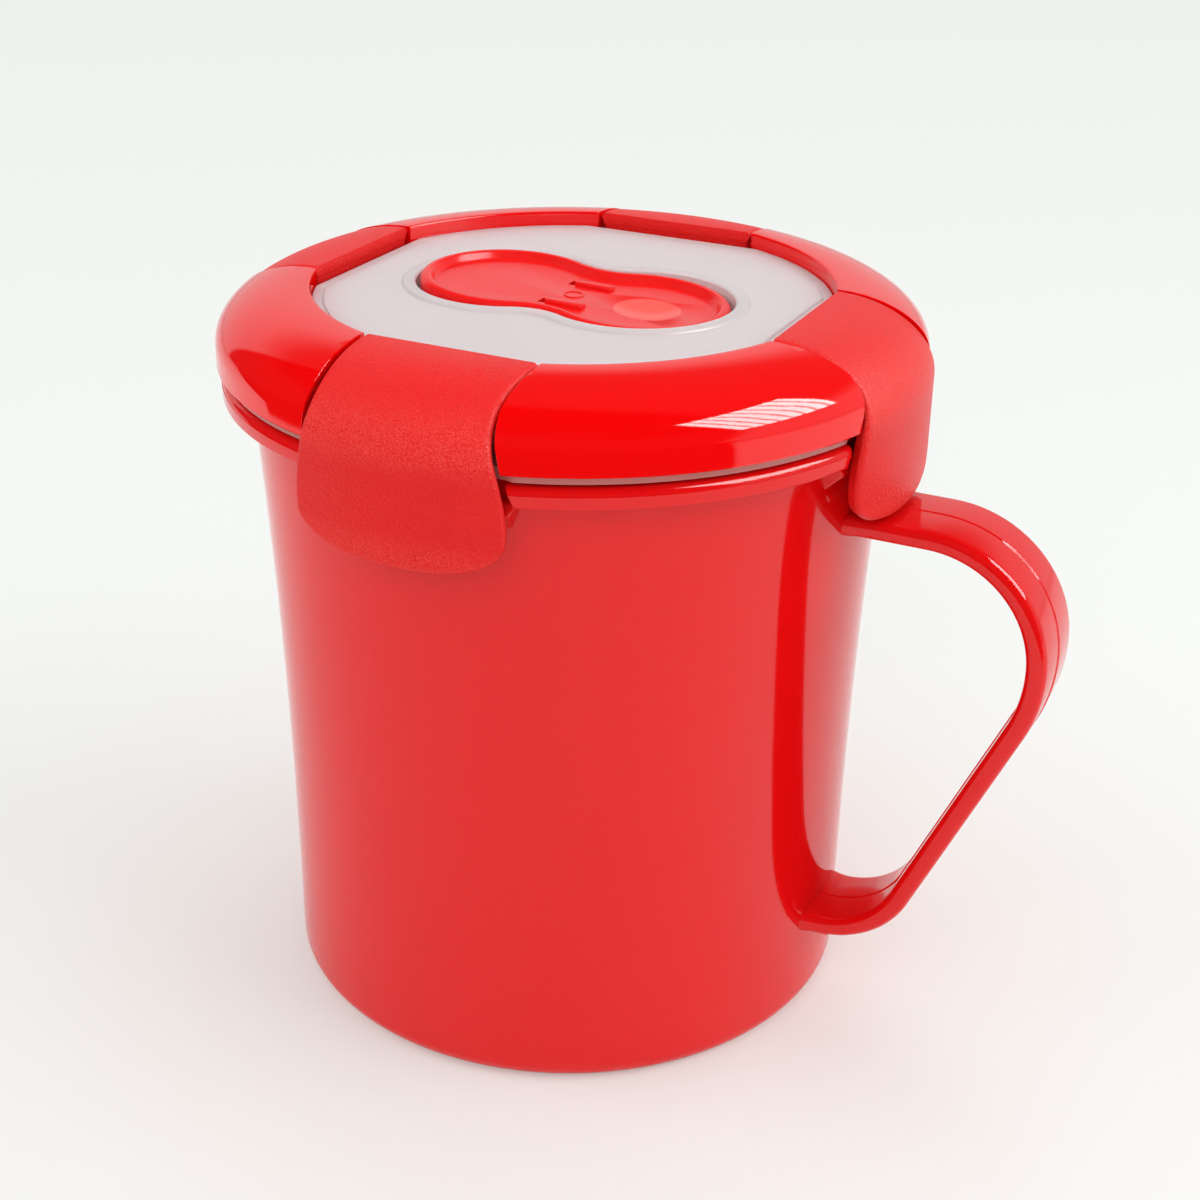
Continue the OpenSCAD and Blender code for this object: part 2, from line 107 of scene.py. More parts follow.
def turn_section(name, section, middle, sweep, cuts=(), steps=40, crease=32):
    """A solid turned part of the way round the mug's axis from a flat section, then trimmed by planes.
    A cut is a point and a direction, and what lies on the direction's side goes."""
    bpy.ops.object.select_all(action='DESELECT')
    bpy.ops.mesh.primitive_circle_add(vertices=len(section), radius=mm, fill_type='NGON')
    piece = bpy.context.object
    piece.name = name
    start = radians(middle - sweep / 2)
    for vert, (r, z) in zip(piece.data.vertices, section):
        vert.co = (r * cos(start), r * sin(start), z)
    bpy.ops.object.mode_set(mode='EDIT')
    bpy.ops.mesh.select_all(action='SELECT')
    turn = Matrix.Rotation(radians(sweep / steps), 4, 'Z')
    for step in range(steps):
        bpy.ops.mesh.extrude_region_move()
        skin = bmesh.from_edit_mesh(piece.data)
        for vert in skin.verts:
            if vert.select:
                vert.co = turn @ vert.co
        bmesh.update_edit_mesh(piece.data)
    for point, direction in cuts:
        bpy.ops.mesh.select_all(action='SELECT')
        bpy.ops.mesh.bisect(plane_co=point, plane_no=direction, use_fill=True, clear_outer=True)
    bpy.ops.object.mode_set(mode='OBJECT')
    return finish_mesh(piece, crease)


def pick(*pieces):
    """Selects these pieces and nothing else, and makes the first one active."""
    bpy.ops.object.select_all(action='DESELECT')
    for piece in pieces:
        piece.select_set(True)
    bpy.context.view_layer.objects.active = pieces[0]


def soften_edges(piece, width, sharper_than=50, segments=3, crease=32):
    """Rounds every edge of the piece that is sharper than an angle."""
    pick(piece)
    bpy.ops.object.mode_set(mode='EDIT')
    bpy.ops.mesh.select_mode(type='EDGE')
    bpy.ops.mesh.select_all(action='DESELECT')
    bpy.ops.mesh.edges_select_sharp(sharpness=radians(sharper_than))
    bpy.ops.mesh.bevel(offset=width, segments=segments, clamp_overlap=True)
    bpy.ops.mesh.select_mode(type='VERT')
    bpy.ops.object.mode_set(mode='OBJECT')
    return finish_mesh(piece, crease)


def quarter_copy(piece, quarters, name):
    """A copy of a piece with its own mesh, turned about the mug's axis by quarter turns."""
    copy = piece.copy()
    copy.data = piece.data.copy()
    copy.name = name
    bpy.context.collection.objects.link(copy)
    copy.data.transform(Matrix.Rotation(quarters * pi / 2, 4, 'Z'))
    return copy


def join(name, pieces):
    """One object from several pieces, with their meshes kept whole."""
    pick(*pieces)
    bpy.ops.object.join()
    pieces[0].name = name
    return pieces[0]


foot_recess = 0.8 * mm
mug_profile = [(1.6 * mm, foot_recess + 0.35 * mm), (2.2 * mm, foot_recess + 0.3 * mm),
               (2.4 * mm, foot_recess), (39.0 * mm, foot_recess)]
mug_profile += [(39.9 * mm, 0.55 * mm), (40.6 * mm, 0.1 * mm)]
mug_profile += [(41.2 * mm, 0.0), (43.0 * mm, 0.0)] + bend(44.7 * mm, 3.2 * mm, 3.2 * mm, -90, 0, 9)
mug_profile += [(wall_reach(z * mm), z * mm) for z in range(8, 104, 5)]
mug_profile += [(neck_r, 104.5 * mm)] + bend(neck_r - 0.7 * mm, rim_z - 0.7 * mm, 0.7 * mm, 0, 90, 4)
mug_profile += bend(neck_r - wall + 0.6 * mm, rim_z - 0.6 * mm, 0.6 * mm, 90, 180, 4)
mug_profile += [(wall_reach(z * mm) - wall, z * mm) for z in range(103, 7, -5)]
mug_profile += bend(foot_r - wall - 5.0 * mm, floor_z + 5.0 * mm, 5.0 * mm, 0, -90, 8)
mug_profile += [(20.0 * mm, floor_z), (2.0 * mm, floor_z)]
mug_skin = pull_rings("mug_skin", mug_profile)

flange_edge = 0.25 * mm
flange_crown = 1.4 * mm
flange_top_z = flange_high_z + 1.25 * mm
flange_section = [(neck_r - mm, flange_low_z)]
flange_section += bend(flange_r - flange_edge, flange_low_z + flange_edge, flange_edge, -90, 0, 3)
flange_section += [(flange_r, flange_high_z)]
flange_section += bend(flange_r - 1.48 * mm, flange_high_z - 0.2 * mm, flange_crown, 10, 80, 8)
flange_section += [(neck_r + 0.9 * mm, flange_top_z), (neck_r - mm, flange_top_z)]
notch_side = Vector((-(flange_high_z - flange_low_z), 0, -notch_lean)).normalized()
notch_cuts = [((notch_half, 0, flange_low_z), notch_side),
              ((0, notch_half, flange_low_z), (0, notch_side.x, notch_side.z))]
flange = turn_section("flange", flange_section, 45, 70, notch_cuts)
soften_edges(flange, 0.3 * mm, 70)

catch_r, catch_low_z = neck_r + 3.0 * mm, 98.2 * mm
catch_section = [(neck_r - mm, catch_low_z), (catch_r - 0.3 * mm, 101.55 * mm), (catch_r, 101.9 * mm),
                 (catch_r, 102.4 * mm), (catch_r - 0.8 * mm, flange_low_z), (neck_r - mm, flange_low_z)]
catch_lean = Vector((flange_low_z - catch_low_z, 0, -catch_taper)).normalized()
catch_cuts = [((catch_half, 0, flange_low_z), catch_lean),
              ((-catch_half, 0, flange_low_z), (-catch_lean.x, 0, catch_lean.z))]
catch = turn_section("catch", catch_section, -90, 50, catch_cuts, 24)
soften_edges(catch, 0.3 * mm)

mug = join("mug", [mug_skin, flange, catch] + [quarter_copy(flange, k, "flange") for k in (1, 2, 3)]
           + [quarter_copy(catch, k, "catch") for k in (1, 2, 3)])
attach(mug, "mug")
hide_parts("mug_body")


def linear(hex_colour):
    """A linear colour from an sRGB hex value."""
    parts = [int(hex_colour[i:i + 2], 16) / 255 for i in (1, 3, 5)]
    return [c / 12.92 if c <= 0.04045 else ((c + 0.055) / 1.055) ** 2.4 for c in parts] + [1.0]


def add_node(tree, kind, settings=None, inputs=None):
    """Adds a node with its settings. Its inputs are set to values, or linked from other nodes' outputs."""
    node = tree.nodes.new(kind)
    for key, value in (settings or {}).items():
        setattr(node, key, value)
    for key, value in (inputs or {}).items():
        if isinstance(value, bpy.types.NodeSocket):
            tree.links.new(value, node.inputs[key])
        else:
            node.inputs[key].default_value = value
    return node


def new_material(name):
    """An empty node material and the tree that its nodes go in."""
    material = bpy.data.materials.new(name)
    material.use_nodes = True
    material.node_tree.nodes.clear()
    return material, material.node_tree


def paint(piece, material):
    """Gives a piece one material."""
    piece.data.materials.clear()
    piece.data.materials.append(material)


# Polished moulded polypropylene, red: a deep even colour under a clear gloss.
# The tool's polish leaves a faint waviness about 25 mm across, and long use a little dulling.
polished_red, tree = new_material("moulded polypropylene, polished red")
place = add_node(tree, "ShaderNodeTexCoord")
mottle = add_node(tree, "ShaderNodeTexNoise", None,
    {"Vector": place.outputs["Object"], "Scale": 1 / (60 * mm), "Detail": 3.0})
tint = add_node(tree, "ShaderNodeMix", {"data_type": 'RGBA'},
    {0: mottle.outputs["Fac"], 6: linear("#DE0A0C"), 7: linear("#E40D0F")})
wave = add_node(tree, "ShaderNodeTexNoise", None,
    {"Vector": place.outputs["Object"], "Scale": 1 / (25 * mm), "Detail": 1.0})
ripple = add_node(tree, "ShaderNodeBump", None, {"Strength": 0.05, "Distance": 1.0 * mm,
    "Height": wave.outputs["Fac"]})
dulling = add_node(tree, "ShaderNodeMapRange", None, {0: mottle.outputs["Fac"], 3: 0.05, 4: 0.10})
gloss = add_node(tree, "ShaderNodeBsdfPrincipled", None,
    {"Base Color": tint.outputs[2], "Roughness": dulling.outputs[0], "IOR": 1.49,
    "Specular IOR Level": 0.42, "Normal": ripple.outputs["Normal"]})
add_node(tree, "ShaderNodeOutputMaterial", None, {"Surface": gloss.outputs["BSDF"]})
paint(mug, polished_red)

# The handle: a flat strap with rounded edges, moulded in one with the mug.
# The mould parts along its middle, which leaves a fine seam on the outside and the inside.
# It swells a little where it runs into the wall.

strap_w, strap_t, strap_edge = 15.5 * mm, 3.3 * mm, 1.3 * mm
seam_half, seam_h = 0.3 * mm, 0.16 * mm
strap_top_z, strap_foot_z = 92.0 * mm, 15.8 * mm
top_bend_r, grip_bend_r, foot_bend_r = 20.0 * mm, 27.0 * mm, 17.0 * mm
top_bend_x = 62.7 * mm
grip_turn, leg_turn = 88, 114
root_depth = 1.6 * mm
root_swell = [(0.0, 1.08), (1.6 * mm, 1.05), (2.6 * mm, 1.02), (3.8 * mm, 1.005), (5.5 * mm, 1.0)]

half_w, half_t = strap_w / 2 - strap_edge, strap_t / 2 - strap_edge
seam = [(seam_half, strap_t / 2), (0, strap_t / 2 + seam_h), (-seam_half, strap_t / 2)]
strap_section = bend(half_w, half_t, strap_edge, 0, 90, 5) + seam
strap_section += bend(-half_w, half_t, strap_edge, 90, 180, 5)
strap_section += bend(-half_w, -half_t, strap_edge, 180, 270, 5)
strap_section += [(-across, -out) for across, out in seam]
strap_section += bend(half_w, -half_t, strap_edge, 270, 360, 5)


def outwards(turn):
    """The strap's outward direction at a turn from the level, in x and z."""
    return Vector((sin(radians(turn)), cos(radians(turn))))


top_centre = Vector((top_bend_x, strap_top_z - top_bend_r))
grip_centre = top_centre + (top_bend_r - grip_bend_r) * outwards(grip_turn)
leg_drop = grip_centre.y + (grip_bend_r - foot_bend_r) * cos(radians(leg_turn)) - foot_bend_r - strap_foot_z
leg = leg_drop / sin(radians(leg_turn)) * Vector((cos(radians(leg_turn)), -sin(radians(leg_turn))))
foot_centre = grip_centre + (grip_bend_r - foot_bend_r) * outwards(leg_turn) + leg
top_root = wall_reach(strap_top_z) - root_depth
foot_root = wall_reach(strap_foot_z) - root_depth
stations = [(Vector((top_root + along, strap_top_z)), 0, swell) for along, swell in root_swell]
stations += [(top_centre + top_bend_r * outwards(t), t, 1) for t in range(0, grip_turn, 4)]
stations += [(grip_centre + grip_bend_r * outwards(t), t, 1) for t in range(grip_turn, leg_turn + 1, 2)]
stations += [(foot_centre + foot_bend_r * outwards(t), t, 1) for t in range(leg_turn, 181, 3)]
stations += [(Vector((foot_root + along, strap_foot_z)), 180, swell) for along, swell in reversed(root_swell)]


def strap_frame(station):
    """Where the strap's section stands at a station: across is y, and its face looks outwards."""
    (x, z), turn, swell = station
    out = outwards(turn)
    at = Vector((x, 0, z)) - Vector((out.x, 0, out.y)) * strap_t / 2
    frame_at = Matrix(((0, out.x, out.y, at.x), (1, 0, 0, at.y), (0, out.y, -out.x, at.z), (0, 0, 0, 1)))
    return frame_at @ Matrix.Diagonal((swell, swell, 1, 1))


bpy.ops.object.select_all(action='DESELECT')
bpy.ops.mesh.primitive_circle_add(vertices=len(strap_section), radius=mm, fill_type='NGON')
handle = bpy.context.object
for vert, (across, out) in zip(handle.data.vertices, strap_section):
    vert.co = strap_frame(stations[0]) @ Vector((across, out, 0))
bpy.ops.object.mode_set(mode='EDIT')
bpy.ops.mesh.select_all(action='SELECT')
for before, after in zip(stations, stations[1:]):
    bpy.ops.mesh.extrude_region_move()
    shift = strap_frame(after) @ strap_frame(before).inverted()
    skin = bmesh.from_edit_mesh(handle.data)
    for vert in skin.verts:
        if vert.select:
            vert.co = shift @ vert.co
    bmesh.update_edit_mesh(handle.data)
bpy.ops.object.mode_set(mode='OBJECT')
finish_mesh(handle, 24)
handle.name = "handle"
paint(handle, polished_red)
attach(handle, "mug")
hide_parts("mug_handle")

# The lid ring: a hollow dome round the window, moulded in a harder, glossier plastic.
# Four bays let the clips through. Each bay's cheeks hold the ends of a hinge pin.
# It is modelled as one quarter between two bays, and copied round.

ring_in, ring_out = 41.3 * mm, 56.3 * mm
ring_low, ring_high = 109.1 * mm, 119.9 * mm
skirt_r, skirt_z = 55.2 * mm, 108.6 * mm
shoulder_z = 111.5 * mm
dome_power = 2.1
bay_half = 14.5 * mm
bay_foot_half = 15.85 * mm
bay_flare_z = 117.2 * mm
pin_r = 1.26 * mm
hinge_d, hinge_z = 41.54 * mm, 117.44 * mm
socket_end = 17.1 * mm


def dome(r_in, r_out, low, high, steps=22):
    """Points of the squared-off round that the ring and the clips share, from its low outside inwards."""
    turns = [radians(90 * i / steps) for i in range(steps + 1)]
    bow = 2 / dome_power
    rise = [(r_in + (r_out - r_in) * cos(a) ** bow, low + (high - low) * sin(a) ** bow) for a in turns[:-1]]
    return rise + [(r_in, high)]


ring_section = [(ring_in, ring_low), (skirt_r, ring_low), (skirt_r, skirt_z),
    (ring_out - 0.25 * mm, skirt_z), (ring_out, skirt_z + 0.25 * mm)]
ring_section += [(r, z) for r, z in dome(ring_in, ring_out, shoulder_z, ring_high) if r > ring_in + 0.5 * mm]
ring_section += bend(ring_in + 0.35 * mm, ring_high - 0.36 * mm, 0.35 * mm, 90, 180, 4)
flare_normal = Vector((-(bay_flare_z - ring_low), 0, -(bay_foot_half - bay_half))).normalized()
bay_cuts = [((bay_half, 0, 0), (-1, 0, 0)), ((0, bay_half, 0), (0, -1, 0)),
            ((bay_half, 0, bay_flare_z), flare_normal),
            ((0, bay_half, bay_flare_z), (0, flare_normal.x, flare_normal.z))]
ring_quarter = turn_section("ring_quarter", ring_section, 45, 72, bay_cuts, 60)
soften_edges(ring_quarter, 0.3 * mm)


def drill(piece, cutter):
    """Cuts one object's shape out of another."""
    pick(piece)
    cut = piece.modifiers.new("drill", 'BOOLEAN')
    cut.object = cutter
    cut.operation = 'DIFFERENCE'
    cut.solver = 'EXACT'
    bpy.ops.object.modifier_apply(modifier=cut.name)
    bpy.data.objects.remove(cutter)


for at, turned in (((0, hinge_d, hinge_z), (0, pi / 2, 0)), ((hinge_d, 0, hinge_z), (pi / 2, 0, 0))):
    bpy.ops.mesh.primitive_cylinder_add(vertices=40, radius=pin_r, depth=2 * socket_end, location=at,
        rotation=turned)
    drill(ring_quarter, bpy.context.object)
bpy.ops.object.shade_smooth_by_angle(angle=radians(32))
ring = join("ring", [ring_quarter] + [quarter_copy(ring_quarter, k, "ring_quarter") for k in (1, 2, 3)])
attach(ring, "lid")
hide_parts("lid_ring")

# Moulded ABS, high gloss red: a purer, harder shine than the mug's own plastic.
# The skin shows a very shallow ripple where the ring is thick.
gloss_red, tree = new_material("moulded ABS, high gloss red")
place = add_node(tree, "ShaderNodeTexCoord")
flow = add_node(tree, "ShaderNodeTexNoise", None,
    {"Vector": place.outputs["Object"], "Scale": 1 / (18 * mm), "Detail": 2.0})
tint = add_node(tree, "ShaderNodeMix", {"data_type": 'RGBA'},
    {0: flow.outputs["Fac"], 6: linear("#EC0304"), 7: linear("#F20506")})
ripple = add_node(tree, "ShaderNodeBump", None, {"Strength": 0.04, "Distance": 1.0 * mm,
    "Height": flow.outputs["Fac"]})
dulling = add_node(tree, "ShaderNodeMapRange", None, {0: flow.outputs["Fac"], 3: 0.03, 4: 0.06})
gloss = add_node(tree, "ShaderNodeBsdfPrincipled", None,
    {"Base Color": tint.outputs[2], "Roughness": dulling.outputs[0], "IOR": 1.52,
    "Normal": ripple.outputs["Normal"]})
add_node(tree, "ShaderNodeOutputMaterial", None, {"Surface": gloss.outputs["BSDF"]})
paint(ring, gloss_red)

# The lid panel: a milky moulding that is the window, the seat on the rim, the plug and the vent's well.
# The window is a shallow dome with a lower border, and a low collar stands round the well.

panel_r, panel_half = 41.1 * mm, 37.87 * mm
seat_r, seat_bay_d, seat_bay_half = 55.0 * mm, 52.0 * mm, 16.6 * mm
lip_z = 107.3 * mm
border_w, border_z = 1.8 * mm, 117.6 * mm
window_z, window_rise = 118.1 * mm, 0.3 * mm
window_t = 1.6 * mm
collar_w, collar_h = 2.9 * mm, 0.35 * mm
plug_r, plug_low, plug_wall = 47.1 * mm, 100.2 * mm, 1.6 * mm
lip_r, lip_t = 48.0 * mm, 1.3 * mm
well_floor_z, well_floor_t, well_wall = 109.0 * mm, 1.3 * mm, 1.4 * mm
well_gap = 0.7 * mm
lobe_r, lobe_x, waist_half = 14.5 * mm, 11.3 * mm, 11.8 * mm
waist_r = (lobe_x ** 2 + waist_half ** 2 - lobe_r ** 2) / (2 * (lobe_r - waist_half))
waist_y = waist_half + waist_r


def window_edge(inset):
    """The window's outline: a circle with four flats at the bays."""
    return lambda b: min(panel_r - inset, (panel_half - inset) / max(abs(cos(b)), abs(sin(b))))


def seat_edge(b):
    """The seat's outline, drawn in where the clips pass."""
    side = min(abs(cos(b)), abs(sin(b))) * seat_r
    return min(seat_r, seat_bay_d / max(abs(cos(b)), abs(sin(b)))) if side < seat_bay_half else seat_r


def seat_lip(b):
    """The inside of the seat's lip, which hangs round the mug's rim."""
    return min(seat_edge(b) - 0.4 * mm, 53.2 * mm)


def peanut(grow=0.0):
    """The vent's outline, two lobes and a waist, grown by an amount."""
    lean = (lobe_r + grow) / (lobe_r + waist_r)
    tangent = atan2(waist_y * lean, lobe_x * (1 - lean))

    def reach(b):
        c, s = abs(cos(b)), abs(sin(b))
        if atan2(s, c) > tangent:
            return waist_y * s - sqrt(max((waist_r - grow) ** 2 - (waist_y * c) ** 2, 0))
        return lobe_x * c + sqrt((lobe_r + grow) ** 2 - (lobe_x * s) ** 2)
    return reach


def blend_edges(first, second, share):
    """An outline that lies a share of the way from one outline to another."""
    return lambda b: (1 - share) * first(b) + share * second(b)


def dome_height(drop=0.0):
    """The window's domed height at a distance from the axis, moved down by a drop."""
    return lambda r: window_z - window_rise * (r / ring_in) ** 2 - drop


crisp = 0.25 * mm
core = -8.5 * mm
window_in = window_edge(border_w + crisp)
collar_foot = peanut(collar_w)
panel_rings = [(peanut(core), well_floor_z), (peanut(well_gap - 0.8 * mm), well_floor_z),
    (peanut(well_gap - 0.2 * mm), well_floor_z + 0.2 * mm)]
panel_rings += [(peanut(well_gap), well_floor_z + 0.8 * mm),
    (peanut(well_gap), dome_height(-collar_h + crisp)), (peanut(well_gap + crisp), dome_height(-collar_h))]
panel_rings += [(peanut(collar_w - crisp - 0.15 * mm), dome_height(-collar_h)),
    (peanut(collar_w - 0.1 * mm), dome_height(-collar_h + 0.12 * mm)),
    (peanut(collar_w + 0.05 * mm), dome_height())]
panel_rings += [(blend_edges(collar_foot, window_in, (i / 12) or 0.02), dome_height()) for i in range(0, 13)]
panel_rings += [(window_edge(border_w + 0.06 * mm), dome_height(0.05 * mm)),
    (window_edge(border_w), border_z - 0.12 * mm),
    (window_edge(border_w - 0.25 * mm), border_z - 0.12 * mm), (window_edge(border_w - 0.4 * mm), border_z)]
panel_rings += [(window_edge(crisp), border_z), (window_edge(0.07 * mm), border_z - 0.07 * mm),
    (window_edge(0), border_z - crisp)]
panel_rings += [(window_edge(0), ring_low), (seat_edge, ring_low), (seat_edge, lip_z), (seat_lip, lip_z),
    (seat_lip, rim_z), (plug_r, rim_z), (plug_r, plug_low + lip_t), (lip_r, plug_low + lip_t)]
panel_rings += [(lip_r, plug_low + 0.4 * mm), (lip_r - 0.4 * mm, plug_low), (plug_r - plug_wall, plug_low),
    (plug_r - plug_wall, rim_z), (window_edge(border_w), rim_z)]
panel_rings += [(window_edge(border_w), border_z - 1.6 * mm),
    (window_edge(border_w + 1.6 * mm), dome_height(window_t))]
panel_rings += [(peanut(well_gap + well_wall + 0.4 * mm), dome_height(window_t)),
    (peanut(well_gap + well_wall), dome_height(window_t + 0.4 * mm))]
panel_rings += [(peanut(well_gap + well_wall), well_floor_z - well_floor_t + 0.4 * mm),
    (peanut(well_gap + well_wall - 0.4 * mm), well_floor_z - well_floor_t),
    (peanut(core), well_floor_z - well_floor_t)]
panel_skin = pull_rings("panel_skin", panel_rings, 360, 38)

steam_x, steam_r = -14.925 * mm, 2.6 * mm
seat_ring = pull_rings("steam_seat", [(steam_r, well_floor_z - 0.5 * mm),
    (steam_r, well_floor_z + 0.6 * mm), (steam_r + 0.2 * mm, well_floor_z + 0.8 * mm),
    (steam_r + 0.8 * mm, well_floor_z + 0.8 * mm), (steam_r + mm, well_floor_z + 0.6 * mm),
    (steam_r + mm, well_floor_z - 0.5 * mm), (steam_r, well_floor_z - 0.5 * mm)], 64)
seat_ring.data.transform(Matrix.Translation((steam_x, 0, 0)))
bpy.ops.mesh.primitive_cylinder_add(vertices=64, radius=steam_r, depth=6 * mm,
    location=(steam_x, 0, well_floor_z))
drill(panel_skin, bpy.context.object)
bpy.ops.object.shade_smooth_by_angle(angle=radians(38))
panel = join("panel", [panel_skin, seat_ring])
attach(panel, "lid")
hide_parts("lid_panel")

# Moulded natural polypropylene: milky and half clear, so that the red below warms it.
# Its surface is a fine spark finish, about 0.4 mm in grain, which blurs what it mirrors.
# The seat is squeezed between red parts, and it and the wall behind the clips are painted pink, as painted
# red light that shows through from them.
milky, tree = new_material("moulded polypropylene, natural milky")
place = add_node(tree, "ShaderNodeTexCoord")
cloud = add_node(tree, "ShaderNodeTexNoise", None,
    {"Vector": place.outputs["Object"], "Scale": 1 / (22 * mm), "Detail": 3.0})
tint = add_node(tree, "ShaderNodeMix", {"data_type": 'RGBA'},
    {0: cloud.outputs["Fac"], 6: linear("#F1E6E7"), 7: linear("#F6EDEE")})
flat_place = add_node(tree, "ShaderNodeVectorMath", {"operation": 'MULTIPLY'},
    {0: place.outputs["Object"], 1: (1, 1, 0)})
reach = add_node(tree, "ShaderNodeVectorMath", {"operation": 'LENGTH'}, {0: flat_place.outputs[0]})
height = add_node(tree, "ShaderNodeSeparateXYZ", None, {0: place.outputs["Object"]})
# Painted red light: a pink tint outside the window, from the seat's lip up to just under the window's edge.
outside = add_node(tree, "ShaderNodeMapRange", None, {0: reach.outputs["Value"], 1: 36.5 * mm, 2: 36.9 * mm})
over_lip = add_node(tree, "ShaderNodeMapRange", None, {0: height.outputs["Z"], 1: 107.1 * mm, 2: 107.2 * mm})
under_edge = add_node(tree, "ShaderNodeMapRange", None,
    {0: height.outputs["Z"], 1: 117.1 * mm, 2: 116.9 * mm})
seat_red_glow = add_node(tree, "ShaderNodeMath", {"operation": 'MULTIPLY'},
    {0: outside.outputs[0], 1: over_lip.outputs[0]})
seat_red_glow = add_node(tree, "ShaderNodeMath", {"operation": 'MULTIPLY'},
    {0: seat_red_glow.outputs[0], 1: under_edge.outputs[0]})
tint = add_node(tree, "ShaderNodeMix", {"data_type": 'RGBA'},
    {0: seat_red_glow.outputs[0], 6: tint.outputs[2], 7: linear("#E58680")})
grit = add_node(tree, "ShaderNodeTexNoise", None,
    {"Vector": place.outputs["Object"], "Scale": 1 / (0.8 * mm), "Detail": 2.0})
spark = add_node(tree, "ShaderNodeBump", None, {"Strength": 0.06, "Distance": 0.2 * mm,
    "Height": grit.outputs["Fac"]})
haze = add_node(tree, "ShaderNodeBsdfPrincipled", None,
    {"Base Color": tint.outputs[2], "Roughness": 0.34, "IOR": 1.49, "Transmission Weight": 0.35,
    "Normal": spark.outputs["Normal"]})
add_node(tree, "ShaderNodeOutputMaterial", None, {"Surface": haze.outputs["BSDF"]})
paint(panel, milky)

# The seal: a soft silicone ring with two lips that wipe the mug's wall.
# It is moulded in one, and stretched over the plug, whose foot keeps it from slipping off.

seal_r, seal_t = 47.16 * mm, 1.8 * mm
seal_low, seal_high = plug_low + lip_t, rim_z
seal_h = seal_high - seal_low
seal_rings = [(seal_r, seal_low), (seal_r + seal_t / 2, seal_low)]
for share in (0.27, 0.73):
    seal_rings += [(seal_r + seal_t / 2 * (1 + cos(radians(a))),
        seal_low + seal_h * (share + 0.17 * sin(radians(a)))) for a in range(-90, 91, 15)]
seal_rings += [(seal_r + seal_t / 2, seal_high), (seal_r, seal_high), (seal_r, seal_low)]
seal = pull_rings("seal", seal_rings, round_sides, 40)
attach(seal, "lid")
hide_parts("seal_ring")

# Moulded silicone rubber: off-white, dull and faintly cloudy, with a dusting of fine specks.
silicone, tree = new_material("moulded silicone rubber")
place = add_node(tree, "ShaderNodeTexCoord")
cloud = add_node(tree, "ShaderNodeTexNoise", None,
    {"Vector": place.outputs["Object"], "Scale": 1 / (3 * mm), "Detail": 4.0})
tint = add_node(tree, "ShaderNodeMix", {"data_type": 'RGBA'},
    {0: cloud.outputs["Fac"], 6: linear("#D9D9D4"), 7: linear("#E6E6E2")})
skin_bump = add_node(tree, "ShaderNodeBump", None,
    {"Strength": 0.1, "Distance": 0.1 * mm, "Height": cloud.outputs["Fac"]})
rubber = add_node(tree, "ShaderNodeBsdfPrincipled", None, {
    "Base Color": tint.outputs[2], "Roughness": 0.55, "IOR": 1.41, "Normal": skin_bump.outputs["Normal"]})
add_node(tree, "ShaderNodeOutputMaterial", None, {"Surface": rubber.outputs["BSDF"]})
paint(seal, silicone)

# The clips: curved flaps that hook under the catches, moulded in a tough grained plastic.
# Each is a shell that follows the ring's dome a little prouder, with a barrel for its pin,
# a hook and two ribs inside. It widens to a rounded finger end.

clip_out = 57.3 * mm
clip_shoulder_z = 108.55 * mm
clip_half, flap_half = 14.1 * mm, 17.1 * mm
clip_t = 2.2 * mm
chord_d = 39.14 * mm
flap_low_z = 92.8 * mm
flap_round, finger_power = 7.4 * mm, 2.7
flap_z = flap_low_z + flap_round
flare_z = 118.5 * mm
side_draft = 0.055
edge_round = 0.8 * mm


def clip_reach_height(r):
    """Height of the clip's outside at a distance from the axis."""
    share = min(max((r - ring_in) / (clip_out - ring_in), 0), 1)
    return clip_shoulder_z + (ring_high - clip_shoulder_z) * (1 - share ** dome_power) ** (1 / dome_power)


def clip_width(z):
    """Half the clip's width at a height."""
    share = min(max((z - flap_z) / (flare_z - flap_z), 0), 1)
    return flap_half - (flap_half - clip_half) * share * share * (3 - 2 * share)


def finger_end(across):
    """Height of the clip's lower edge at a share of its half width."""
    return flap_z - flap_round * (1 - abs(across) ** finger_power) ** (1 / finger_power)


def edge_drop(x, z):
    """How far the clip's outside falls away near its edges, as a quarter round."""
    across = min(abs(x) / clip_width(z), 1)
    inset = min(clip_width(z) * (1 - across), max(z - finger_end(across), 0), edge_round)
    return edge_round - sqrt(edge_round ** 2 - (edge_round - inset) ** 2)


def clip_point(u, v):
    """A point of the clip's outside: u runs across it, and v from the hinge to the finger end."""
    across = sin(u * pi / 2)
    if v < 0.5:
        start = sqrt(chord_d ** 2 + (across * clip_half) ** 2)
        turn = pi / 2 * (1 - 2 * v)
        r = start + (clip_out - start) * cos(turn) ** (2 / dome_power)
        z = clip_reach_height(r)
    else:
        r = clip_out
        z = clip_shoulder_z + (finger_end(across) - clip_shoulder_z) * (2 * v - 1)
    x = across * clip_width(z)
    return x, -sqrt(r * r - x * x), z


bpy.ops.object.select_all(action='DESELECT')
bpy.ops.mesh.primitive_grid_add(x_subdivisions=56, y_subdivisions=76, size=2)
flap = bpy.context.object
flap.name = "flap"
for vert in flap.data.vertices:
    vert.co = clip_point(min(max(vert.co.x, -1), 1), min(max((vert.co.y + 1) / 2, 0), 1))
bpy.ops.object.mode_set(mode='EDIT')
bpy.ops.mesh.select_all(action='SELECT')
bpy.ops.mesh.normals_make_consistent(inside=False)
bpy.ops.object.mode_set(mode='OBJECT')
out_side = sum(p.normal.y for p in flap.data.polygons)
shell = flap.modifiers.new("wall", 'SOLIDIFY')
shell.thickness = clip_t
shell.offset = -1 if out_side < 0 else 1
shell.use_even_offset = True
outside_points = len(flap.data.vertices)
inwards = 1 if out_side > 0 else -1
drops = [vert.normal * inwards * edge_drop(vert.co.x, vert.co.z) for vert in flap.data.vertices]
